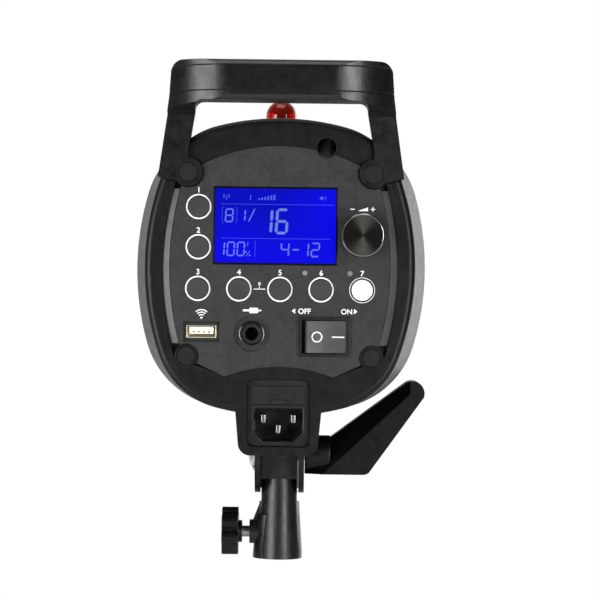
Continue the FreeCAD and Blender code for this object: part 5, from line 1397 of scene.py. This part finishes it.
@dataclass
class PanelPrints(SubAssembly):
    """White prints on the panel: plain numbers over the keys and simple signs at the sockets."""

    ink: float = 0.03 * MM
    weight: float = 0.02
    number_height: float = 2.7 * MM
    number_rise: float = 8.3 * MM
    dial_rise: float = 13.0 * MM
    word_height: float = 2.6 * MM
    word_rise: float = 12.6 * MM
    jack_rise: float = 11.4 * MM
    port_rise: float = 6.9 * MM
    stroke: float = 0.5 * MM
    link_stroke: float = 0.35 * MM

    def build(self) -> None:
        """Print the numbers, the signs and the switch's two words."""
        self.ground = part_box("control_panel")[0].y
        shapes = [*self.key_numbers(), *self.dial_signs(), *self.switch_words(), *self.socket_signs(),
                  *self.key_link()]
        self.add(from_bmesh("panel_prints", joined(shapes)), WHITE_INK, "head", "panel_charcoal")

    def flat(self, outline: Sequence[Point]) -> Shape:
        """A printed shape on the panel's face."""
        return slab(outline, self.ground - self.ink, self.ground)

    def write(self, text: str, height: float, x: float, z: float) -> Shape:
        """Printed numbers or words on the panel's face."""
        return lettering(text, height, (x, z), self.ground - self.ink, self.ink, self.weight)

    def spots(self, x: float, z: float, *shifts: Point) -> Outline:
        """Points that lie some millimetres right of and above a place."""
        return [(x + right * MM, z + up * MM) for right, up in shifts]

    def stroke_at(self, x: float, z: float, start: Point, end: Point) -> Shape:
        """A printed stroke between two points, in millimetres from a place."""
        return self.flat(ribbon(self.spots(x, z, start, end), self.stroke))

    def key_numbers(self) -> list[Shape]:
        """A number over each key."""
        places = [(str(count), self.seen_middle(node)) for count, node in enumerate(KEY_NODES, start=1)]
        return [self.write(text, self.number_height, x, z + self.number_rise) for text, (x, z) in places]

    def dial_signs(self) -> list[Shape]:
        """Minus and plus over the dial, with a rising wedge between them.

        Returns:
            The working meshes.
        """
        x, z = self.seen_middle("set_knob")
        level = z + self.dial_rise
        left, right = x - 5.0 * MM, x + 5.0 * MM
        return [self.flat(self.spots(x, level, (-2.6, -0.9), (2.6, -0.9), (2.6, 1.0))),
                self.stroke_at(left, level, (-1.1, 0.0), (1.1, 0.0)),
                self.stroke_at(right, level, (-1.1, 0.0), (1.1, 0.0)),
                self.stroke_at(right, level, (0.0, -1.1), (0.0, -0.25)),
                self.stroke_at(right, level, (0.0, 0.25), (0.0, 1.1))]

    def switch_words(self) -> list[Shape]:
        """OFF and ON over the switch, each with its arrow.

        Returns:
            The working meshes.
        """
        x, z = self.seen_middle("switch_frame")
        level = z + self.word_rise
        shapes = [self.write("OFF", self.word_height, x - 9.6 * MM, level),
                  self.write("ON", self.word_height, x + 11.0 * MM, level)]
        for side, reach in ((-1, 14.2 * MM), (1, 14.6 * MM)):
            arrow = self.spots(x + side * reach, level, (0.0, -1.3), (0.0, 1.3), (side * 1.7, 0.0))
            shapes.append(self.flat(arrow))
        return shapes

    def socket_signs(self) -> list[Shape]:
        """A jack plug over the sync socket and radio waves over the receiver's port.

        Returns:
            The working meshes.
        """
        x, z = self.seen_middle("sync_jack")
        plug = self.spots(x, z + self.jack_rise, (-4.4, -0.5), (-1.2, -0.5), (-1.2, -1.3), (3.0, -1.3),
                          (3.0, 1.3), (-1.2, 1.3), (-1.2, 0.5), (-4.4, 0.5))
        lead = self.spots(x, z + self.jack_rise, (3.0, -0.35), (4.6, -0.35), (4.6, 0.35), (3.0, 0.35))
        x, z = self.seen_middle("usb_port")
        root = (x, z + self.port_rise)
        waves = [ribbon(circle(root, radius * MM, 16, 45.0, 90.0), self.stroke) for radius in (1.5, 2.7, 3.9)]
        return [self.flat(outline) for outline in (plug, lead, circle(root, 0.55 * MM, 20), *waves)]

    def key_link(self) -> list[Shape]:
        """The small link between two keys that are pressed together.

        Returns:
            The working meshes.
        """
        first, second = self.seen_middle("button_slave"), self.seen_middle("button_beep")
        x, z = (first[0] + second[0]) / 2, first[1]
        line = ribbon(self.spots(x, z, (-2.9, 0.0), (2.9, 0.0)), self.link_stroke)
        post = ribbon([(x, z + self.link_stroke / 2), (x, z + 1.1 * MM)], self.link_stroke)
        return [self.flat(line), self.flat(post), self.write("0", 1.7 * MM, x, z + 2.6 * MM)]


@dataclass
class Dial(SubAssembly):
    """The set knob: an anodised drum, a spun face and a bright cut rim."""

    kept: tuple = (("encoder_body", GREY_PLASTIC), ("encoder_shaft", STEEL),
                   ("encoder_plunger", GREY_PLASTIC))
    rim: float = 0.55 * MM
    rim_foot: float = 0.2 * MM
    rim_sink: float = 0.1 * MM
    recess: float = 0.3 * MM
    chamfer: float = 0.5 * MM
    straight: float = 1.2 * MM
    face_sink: float = 0.12 * MM
    face_back: float = 0.4 * MM
    steps: int = 128

    def build(self) -> None:
        """Turn the knob and dress the encoder behind it."""
        super().build()
        low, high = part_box("set_knob")
        centre = self.middle("set_knob")
        radius = (high.x - low.x) / 2
        front, back, rim = low.y, high.y, self.rim
        foot = radius - rim - self.rim_foot
        drum = [(0.0, front + self.recess), (radius - rim - self.rim_sink, front + self.recess),
                (radius - 0.02 * MM, front + rim + self.rim_sink), (radius, front + self.straight),
                (radius, back - self.chamfer), (radius - self.chamfer, back), (0.0, back)]
        face = [(0.0, front + self.face_sink), (foot, front + self.face_sink), (foot, front + self.face_back),
                (0.0, front + self.face_back)]
        ring = [(foot, front + self.rim_sink), (radius - rim, front), (radius, front + rim * 0.8),
                (radius, front + rim * 1.1), (foot, front + rim * 1.1)]
        turned = from_bmesh("set_knob_drum", lathe(drum, centre, self.steps))
        self.stand_in("set_knob", turned, KNOB_SIDE, "dial_black")
        spun = SpunFace("knob_face_spun", (0.038, 0.036, 0.032), (centre.x, centre.z))
        self.add(from_bmesh("set_knob_face", lathe(face, centre, self.steps)), spun, "dial", "dial_black")
        bright = from_bmesh("set_knob_rim", closed_lathe(ring, centre, self.steps))
        self.add(bright, KNOB_RIM, "dial", "dial_black")


@dataclass
class Sockets(SubAssembly):
    """The receiver's port in its lined recess, and the sync socket with its stepped nut."""

    edges: tuple = (("usb_port", PORT_SHELL, "port_gold", 0.12 * MM),)
    jack_edge: float = 0.3 * MM
    liner: float = 0.5 * MM
    liner_room: Point = (2.6 * MM, 3.6 * MM)
    liner_round: float = 1.9 * MM
    liner_front: float = 0.1 * MM
    liner_back: float = 0.7 * MM
    tongue_side: float = 1.5 * MM
    tongue_front: float = 1.4 * MM
    tongue_high: float = 3.3 * MM
    tongue_drop: float = 0.75 * MM
    contact_count: int = 4
    contact_proud: float = 0.32 * MM
    nut_wall: float = 1.3 * MM
    nut_facets: int = 96
    nut_smooth: float = 20.0

    def build(self) -> None:
        """Dress both sockets."""
        super().build()
        self.port_liner()
        self.port_tongue()
        self.edged("sync_jack", JACK_PLASTIC, "jack_black", self.jack_edge)
        self.nut()

    def port_liner(self) -> None:
        """A rounded dark frame inside the panel's recess for the port."""
        low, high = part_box("usb_port")
        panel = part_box("control_panel")[0].y
        middle = self.seen_middle("usb_port")
        size = (high.x - low.x + self.liner_room[0], high.z - low.z + self.liner_room[1])
        outer = rounded(*size, self.liner_round, middle)
        inner = rounded(size[0] - 2 * self.liner, size[1] - 2 * self.liner, self.liner_round - self.liner,
                        middle)
        frame = hoop(outer, inner, panel - self.liner_front, panel + self.liner_back)
        bmesh.ops.remove_doubles(frame, verts=frame.verts, dist=WELD)
        self.add(from_bmesh("usb_liner", frame), PORT_LINER, "head", "panel_charcoal")

    def port_tongue(self) -> None:
        """The pale tongue in the port, with its contacts."""
        low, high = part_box("usb_port")
        left, right = low.x + self.tongue_side, high.x - self.tongue_side
        front, top = low.y + self.tongue_front, high.z - self.tongue_drop
        middle = ((left + right) / 2, top - self.tongue_high / 2)
        outline = rounded(right - left, self.tongue_high, 0.3 * MM, middle)
        plate = slab(outline, front - 0.25 * MM, front + 2 * MM)
        bevel(plate, 0.1 * MM)
        self.add(from_bmesh("usb_tongue", plate), PORT_TONGUE, "head", "port_gold")
        pitch = (right - left) / (self.contact_count + 0.6)
        pads = []
        for k in range(self.contact_count):
            x = middle[0] + (k - (self.contact_count - 1) / 2) * pitch
            outline = rounded(pitch * 0.5, 0.5 * MM, 0.15 * MM, (x, middle[1] - self.tongue_high * 0.22), 3)
            pads.append(slab(outline, front - self.contact_proud, front))
        self.add(from_bmesh("usb_contacts", joined(pads)), PORT_LINER, "head", "port_gold")

    def nut(self) -> None:
        """Turn the socket's nut with a raised bead, a groove and a cone towards its bush."""
        low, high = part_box("jack_nut")
        rim = (high.x - low.x) / 2
        front, back, hole = low.y, high.y, rim - self.nut_wall
        profile = [(hole, back), (hole, front + 0.55 * MM), (hole + 0.2 * MM, front + 0.3 * MM),
                   (hole + 0.35 * MM, front), (hole + 0.75 * MM, front), (hole + 0.9 * MM, front + 0.25 * MM),
                   (rim - 0.12 * MM, front + 0.35 * MM), (rim, front + 0.55 * MM), (rim, back)]
        turned = closed_lathe(profile, self.middle("jack_nut"), self.nut_facets)
        nut = from_bmesh("jack_nut_turned", turned, self.nut_smooth)
        self.stand_in("jack_nut", nut, JACK_METAL, "jack_black")


@dataclass
class MainsSwitch(SubAssembly):
    """The rocker switch, with the sign for off and the sign for on printed on its rocker."""

    edges: tuple = (("switch_frame", SWITCH_PLASTIC, "switch_black", 0.35 * MM),)
    rocker_edge: float = 0.3 * MM
    ink: float = 0.03 * MM
    stroke: float = 0.62 * MM
    off_radius: float = 2.37 * MM
    on_half: float = 3.05 * MM
    off_left: float = 3.4 * MM
    on_right: float = 7.05 * MM
    off_steps: int = 48
    on_steps: int = 12

    def build(self) -> None:
        """Build the frame, the rocker and its two signs."""
        super().build()
        rocker = self.edged("switch_rocker", ROCKER_PLASTIC, "switch_black", self.rocker_edge)
        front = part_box("switch_frame")[0].y
        x, z = self.seen_middle("switch_frame")
        centre, half = (x - self.off_left, z), self.stroke / 2
        outer = circle(centre, self.off_radius + half, self.off_steps)
        inner = circle(centre, self.off_radius - half, self.off_steps)
        left, step = x + self.on_right - self.on_half, self.on_half * 2 / self.on_steps
        ends = [left + k * step for k in range(self.on_steps + 1)]
        bar = [slab(ribbon([(start, z), (end, z)], self.stroke), front - self.ink, front)
               for start, end in zip(ends, ends[1:])]
        ground = BVHTree.FromObject(rocker, bpy.context.evaluated_depsgraph_get())
        marks = drape(joined([hoop(outer, inner, front - self.ink, front), *bar]), ground, self.ink)
        bmesh.ops.remove_doubles(marks, verts=marks.verts, dist=WELD)
        self.add(from_bmesh("switch_signs", marks), WHITE_INK, "rocker", "switch_black")


@dataclass
class MainsInlet(SubAssembly):
    """The mains inlet in the tongue, its pins and the fuse drawer over it."""

    edges: tuple = (("inlet_body", INLET_PLASTIC, "inlet_black", 0.4 * MM),
                    ("fuse_drawer", INLET_PLASTIC, "inlet_black", 0.1 * MM),
                    ("inlet_pins", PIN_METAL, "pin_nickel", 0.3 * MM))
    kept: tuple = (("fuse_link", FUSE_GLASS),)


@dataclass
class SlaveSensor(SubAssembly):
    """The red dome on top with the dark photocell inside it, and its seat."""

    kept: tuple = (("sensor_base", SENSOR_SEAT),)
    wall: float = 1.6 * MM
    cell_radius: float = 1.9 * MM
    cell_drop: float = 3.2 * MM
    cell_chamfer: float = 0.5 * MM
    steps: int = 16
    facets: int = 48

    def build(self) -> None:
        """Turn the dome as a shell, stand the cell inside and dress the seat."""
        super().build()
        low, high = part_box("sensor_dome")
        centre = Vector(((low.x + high.x) / 2, (low.y + high.y) / 2, 0.0))
        radius = (high.x - low.x) / 2
        stem = high.z - radius
        outer = self.arch(radius, stem, low.z)
        inner = self.arch(radius - self.wall, stem, low.z)
        dome = from_bmesh("sensor_dome_shell", self.upright([*outer, *inner[::-1]], centre), 50.0)
        self.stand_in("sensor_dome", dome, SENSOR_RED, "sensor_red")
        top = high.z - self.cell_drop
        cell = [(0.0, low.z), (self.cell_radius, low.z), (self.cell_radius, top - self.cell_chamfer),
                (self.cell_radius - self.cell_chamfer, top), (0.0, top)]
        self.add(from_bmesh("sensor_cell", self.upright(cell, centre)), SENSOR_SEAT, "head", "sensor_ring")

    def arch(self, radius: float, stem: float, foot: float) -> Outline:
        """Half the section of an upright round-topped post, from its foot to its top."""
        turns = [math.radians(90 * k / self.steps) for k in range(self.steps)]
        return [(radius, foot), *((radius * math.cos(a), stem + radius * math.sin(a)) for a in turns),
                (0.0, stem + radius)]

    def upright(self, profile: Sequence[Point], centre: Vector) -> Shape:
        """Turn a profile of (radius, z) pairs about an upright axis.

        Args:
            profile: the section.
            centre: where the axis stands, in X and Y.

        Returns:
            The working mesh.
        """
        shape = lathe(profile, Vector((0.0, 0.0, 0.0)), self.facets)
        quarter = Matrix.Rotation(math.radians(90), 3, "X")
        bmesh.ops.rotate(shape, verts=shape.verts, cent=(0, 0, 0), matrix=quarter)
        bmesh.ops.translate(shape, verts=shape.verts, vec=centre)
        return shape


@dataclass
class UmbrellaTube(SubAssembly):
    """The long tube for an umbrella's shaft."""

    kept: tuple = (("umbrella_tube", TUBE_METAL),)


@dataclass
class StandMount(SubAssembly):
    """The stand socket with its lobe, the clamp screw and knob, the yoke and the pivot."""

    edges: tuple = (("stand_socket", SOCKET_COAT, "socket_black", 0.5 * MM),
                    ("yoke", YOKE_COAT_WITH_PAINTED_SHADE, "socket_black", 0.4 * MM),
                    ("clamp_knob", GRIP_PLASTIC, "knob_black", 0.6 * MM))
    kept: tuple = (("clamp_screw", STEEL), ("clamp_tip", TIP_BRASS), ("pivot_bolt", CHROME),
                   ("pivot_washers", FRICTION_DISC))
    lobe_shift: float = 3.2 * MM
    lobe_foot: float = 10.9 * MM
    lobe_top: float = 9.6 * MM
    lobe_inside: float = 8.6 * MM
    lobe_height: float = 24.0 * MM
    lobe_wrap: float = 100.0
    lobe_steps: int = 24
    lobe_rounding: float = 1.0 * MM
    screw_room: float = 4.8 * MM

    def build(self) -> None:
        """Add the socket's lobe and dress the mount."""
        self.lobe()
        super().build()

    def lobe(self) -> None:
        """Stand the lobe against the socket, open where the clamp screw runs."""
        low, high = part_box("clamp_screw")
        under = (low.z + high.z) / 2 - self.screw_room
        gap = math.degrees(math.asin(self.screw_room / self.lobe_top))
        start, end = 180.0 - self.lobe_wrap, 180.0 + self.lobe_wrap
        parts = [self.crescent(0.0, under, start, end),
                 self.crescent(under, self.lobe_height, start, 180.0 - gap),
                 self.crescent(under, self.lobe_height, 180.0 + gap, end)]
        self.add(from_bmesh("socket_lobe", joined(parts)), SOCKET_COAT, "stand", "socket_black")

    def crescent(self, foot: float, top: float, start: float, end: float) -> Shape:
        """A part of the lobe between two heights and two angles about the socket's axis.

        Args:
            foot: the lower height.
            top: the upper height.
            start: the first angle in degrees.
            end: the last angle in degrees.

        Returns:
            The working mesh.
        """
        stops = range(self.lobe_steps + 1)
        turns = [math.radians(start + (end - start) * k / self.lobe_steps) for k in stops]
        inner = [(self.lobe_inside * math.cos(a), self.lobe_inside * math.sin(a)) for a in turns[::-1]]
        rings = []
        for z in (foot, top):
            radius = self.lobe_foot + (self.lobe_top - self.lobe_foot) * z / self.lobe_height
            outer = [(radius * math.cos(a) - self.lobe_shift, radius * math.sin(a)) for a in turns]
            rings.append([(x, y, z) for x, y in outer + inner])
        shape = loft(rings)
        crown = [e for e in shape.edges if min(v.co.z for v in e.verts) > self.lobe_height - 0.1 * MM]
        bmesh.ops.bevel(shape, geom=crown, offset=self.lobe_rounding, segments=4, profile=0.5, affect="EDGES")
        return shape


@dataclass
class TiltLever(SubAssembly):
    """The moulded lever that locks the tilt, scooped out between its lower rib and its tip."""

    scoop_slope: float = 38.0
    rib_foot: Point = (11.4 * MM, 1.4 * MM)
    rib_top: Point = (7.7 * MM, 7.0 * MM)
    sheet: float = 1.5 * MM
    hub_length: float = 14.0 * MM
    axis_rise: float = 10.7 * MM
    rounding: float = 1.0 * MM
    hub_facets: int = 48

    def build(self) -> None:
        """Mould the blade, its tip and its hub."""
        low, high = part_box("tilt_lever")
        foot = Vector((low.x + self.rib_foot[0], low.y, low.z + self.rib_foot[1]))
        top = Vector((high.x - self.rib_top[0], low.y, high.z - self.rib_top[1]))
        along = (top - foot).normalized()
        upward = Vector((-along.z, 0.0, along.x))
        slope = math.radians(self.scoop_slope)
        blade = welded(self.frame["nodes"]["tilt_lever"])
        back = Vector((0.0, -1.0, 0.0))
        for corner in self.cut(blade, Vector((0.0, high.y - self.sheet, 0.0)), back):
            corner.co.y = low.y
        tip = blade.copy()
        self.cut(blade, foot, upward * math.sin(slope) + back * math.cos(slope))
        self.cut(blade, top, Vector((1.0, 0.0, 0.0)))
        self.cut(tip, top, Vector((-1.0, 0.0, 0.0)))
        for part in (blade, tip):
            bevel(part, self.rounding)
        shape = from_bmesh("tilt_lever_moulding", joined([blade, tip, self.hub(low, high)]))
        self.stand_in("tilt_lever", shape, LEVER_PLASTIC, "handle_black")

    def cut(self, shape: Shape, place: Vector, away: Vector) -> list[bmesh.types.BMVert]:
        """Cut a shape with a plane and close it.

        Args:
            shape: the working mesh.
            place: a point of the plane.
            away: the plane's normal, towards what goes.

        Returns:
            The corners on the plane.
        """
        parts = shape.verts[:] + shape.edges[:] + shape.faces[:]
        found = bmesh.ops.bisect_plane(shape, geom=parts, dist=CUT, plane_co=place, plane_no=away,
                                       clear_outer=True)["geom_cut"]
        rims = [e for e in found if isinstance(e, bmesh.types.BMEdge)]
        bmesh.ops.triangle_fill(shape, edges=rims, use_beauty=True)
        bmesh.ops.recalc_face_normals(shape, faces=shape.faces)
        return list({v for e in rims for v in e.verts})

    def hub(self, low: Vector, high: Vector) -> Shape:
        """The round hub about the pivot's axis.

        Args:
            low: the lever's lowest corner.
            high: its highest corner.

        Returns:
            The working mesh.
        """
        shape = bmesh.new()
        radius = (high.y - low.y) / 2
        turned = Matrix.Rotation(math.radians(90.0), 4, "Y")
        place = Matrix.Translation((low.x + self.hub_length / 2, 0.0, low.z + self.axis_rise))
        bmesh.ops.create_cone(shape, cap_ends=True, segments=self.hub_facets, radius1=radius, radius2=radius,
                              depth=self.hub_length, matrix=place @ turned)
        bevel(shape, self.rounding)
        return shape


@dataclass
class FrontEnd(SubAssembly):
    """The collar, the accessory ring with its lock, the dish, the flash tube and the modelling lamp."""

    edges: tuple = (("mount_ring", RING_METAL, "ring_satin", 0.25 * MM),
                    ("lock_slider", COLLAR_COAT, "collar_black", 0.4 * MM))
    kept: tuple = (("front_collar", COLLAR_COAT), ("chassis_screws", STEEL), ("reflector_dish", DISH_METAL),
                   ("flash_tube", TUBE_GLASS), ("tube_sockets", WHITE_CERAMIC),
                   ("lamp_socket", WHITE_CERAMIC), ("lamp_cap", BRASS), ("lamp_glass", LAMP_GLASS))


@dataclass
class Internals(SubAssembly):
    """What the closed housing holds."""

    kept: tuple = (("chassis_plate", ZINC), ("capacitors", CAN_SLEEVE), ("power_board", BOARD),
                   ("transformer", CORE_IRON), ("fan_frame", FAN_PLASTIC), ("fan_rotor", FAN_PLASTIC))


# ---- the stage -----------------------------------------------------------------------------------


@dataclass
class Stage:
    """The floor, the lamps, the white surroundings and the camera.

    Each lamp is a soft box: its name, its place, its width and height in metres and its power in watts.
    """

    floor_level: float = -0.25
    floor_radius: float = 1.35
    fade_start: float = 0.35
    fade_end: float = 0.98
    camera_place: Triple = (0.010, -1.225, 0.1404)
    lens: float = 134.7
    sensor_width: float = 36.0
    roll: float = 0.7
    room: Colour = (0.17, 0.172, 0.178)
    room_in_gloss: Colour = (0.035, 0.037, 0.042)
    backdrop_edge: float = 0.1
    backdrop_full: float = 1.25
    aim: Triple = (0.0, -0.03, 0.13)
    lamps: tuple[tuple[str, Triple, float, float, float], ...] = (
        ("key_left", (-0.88, -0.97, 0.10), 0.70, 0.75, 14.0),
        ("key_right", (0.675, -1.12, 0.10), 0.42, 0.75, 10.0),
        ("rim_right", (0.78, 1.00, 0.25), 0.5, 1.0, 3.4),
        ("top", (-0.1, -0.25, 1.35), 1.0, 0.7, 5.0),
    )

    def build(self) -> None:
        """Set the stage."""
        self.floor()
        self.surroundings()
        for row in self.lamps:
            self.lamp(*row)
        self.camera()
        bpy.context.scene.view_settings.view_transform = "Standard"

    def floor(self) -> None:
        """A round pale floor that fades into the white surroundings at its rim."""
        shape = bmesh.new()
        bmesh.ops.create_circle(shape, cap_ends=True, segments=96, radius=self.floor_radius,
                                matrix=Matrix.Translation((0.0, 0.0, self.floor_level)))
        floor = from_bmesh("floor", shape)
        tree = MaterialTree("pale_floor")
        tree.set(Base_Color=(0.86, 0.86, 0.86), Roughness=0.9, Specular_IOR_Level=0.1)
        light = tree.node("ShaderNodeEmission", {"Color": (*WHITE, 1.0)})
        out = tree.length(tree.stretched((1.0, 1.0, 0.0)))
        fade = tree.ramp(out, self.floor_radius * self.fade_start, self.floor_radius * self.fade_end)
        rays = tree.rays()
        clear = tree.join("MAXIMUM", rays["Is Camera Ray"], rays["Is Transmission Ray"])
        share = tree.join("MULTIPLY", fade, tree.join("MAXIMUM", clear, rays["Is Glossy Ray"]))
        blend = tree.node("ShaderNodeMixShader", {0: share, 1: tree.shader.outputs[0], 2: light.outputs[0]})
        tree.links.new(blend.outputs[0], tree.nodes["Material Output"].inputs["Surface"])
        floor.data.materials.append(tree.material)

    def surroundings(self) -> None:
        """White for the camera, glass and gloss that looks past the head; an even light for the rest."""
        world = bpy.data.worlds.new("surroundings")
        bpy.context.scene.world = world
        world.use_nodes = True
        tree = Tree(world.node_tree, "Generated")
        rays = tree.rays()
        beyond = tree.ramp(tree.axis("Y"), self.backdrop_edge, self.backdrop_full)
        gloss = tree.join("MULTIPLY", rays["Is Glossy Ray"], beyond)
        clear = tree.join("MAXIMUM", rays["Is Camera Ray"], rays["Is Transmission Ray"])
        shade = tree.mix(rays["Is Glossy Ray"], self.room, self.room_in_gloss)
        tone = tree.mix(tree.join("MAXIMUM", gloss, clear), shade, WHITE)
        ground = tree.nodes["Background"].inputs
        tree.links.new(tone, ground["Color"])
        ground["Strength"].default_value = 1.0

    def lamp(self, name: str, place: Triple, width: float, height: float, power: float) -> None:
        """A soft box that looks at the head.

        Args:
            name: the lamp's name.
            place: where it stands.
            width: the box's width.
            height: its height.
            power: its power in watts.
        """
        data = bpy.data.lights.new(name, "AREA")
        data.shape = "RECTANGLE"
        data.size, data.size_y = width, height
        data.energy = power
        lamp = new_object(name, data)
        lamp.location = place
        lamp.rotation_euler = (Vector(self.aim) - Vector(place)).to_track_quat("-Z", "Y").to_euler()

    def camera(self) -> None:
        """The camera behind the head, level and very slightly rolled."""
        data = bpy.data.cameras.new("camera")
        data.lens = self.lens
        data.sensor_width = self.sensor_width
        camera = new_object("camera", data)
        upright = Matrix.Rotation(math.radians(90.0), 4, "X")
        rolled = Matrix.Rotation(math.radians(self.roll), 4, "Z")
        camera.matrix_world = Matrix.Translation(self.camera_place) @ upright @ rolled
        bpy.context.scene.camera = camera


def main() -> None:
    """Load the frame, build every sub-assembly in order and set the stage."""
    logging.basicConfig(level=logging.INFO, format="%(message)s", stream=sys.stdout)
    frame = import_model()
    finishes = Finishes()
    for kind in (Housing, RearCover, Handle, ControlPanel, SideTrims, Display, Keys, PanelPrints, Dial,
                 Sockets, MainsSwitch, MainsInlet, SlaveSensor, UmbrellaTube, StandMount, TiltLever,
                 FrontEnd, Internals):
        assembly = kind(frame, finishes)
        assembly.build()
        assembly.report()
    Stage().build()


if __name__ == "__main__":
    main()
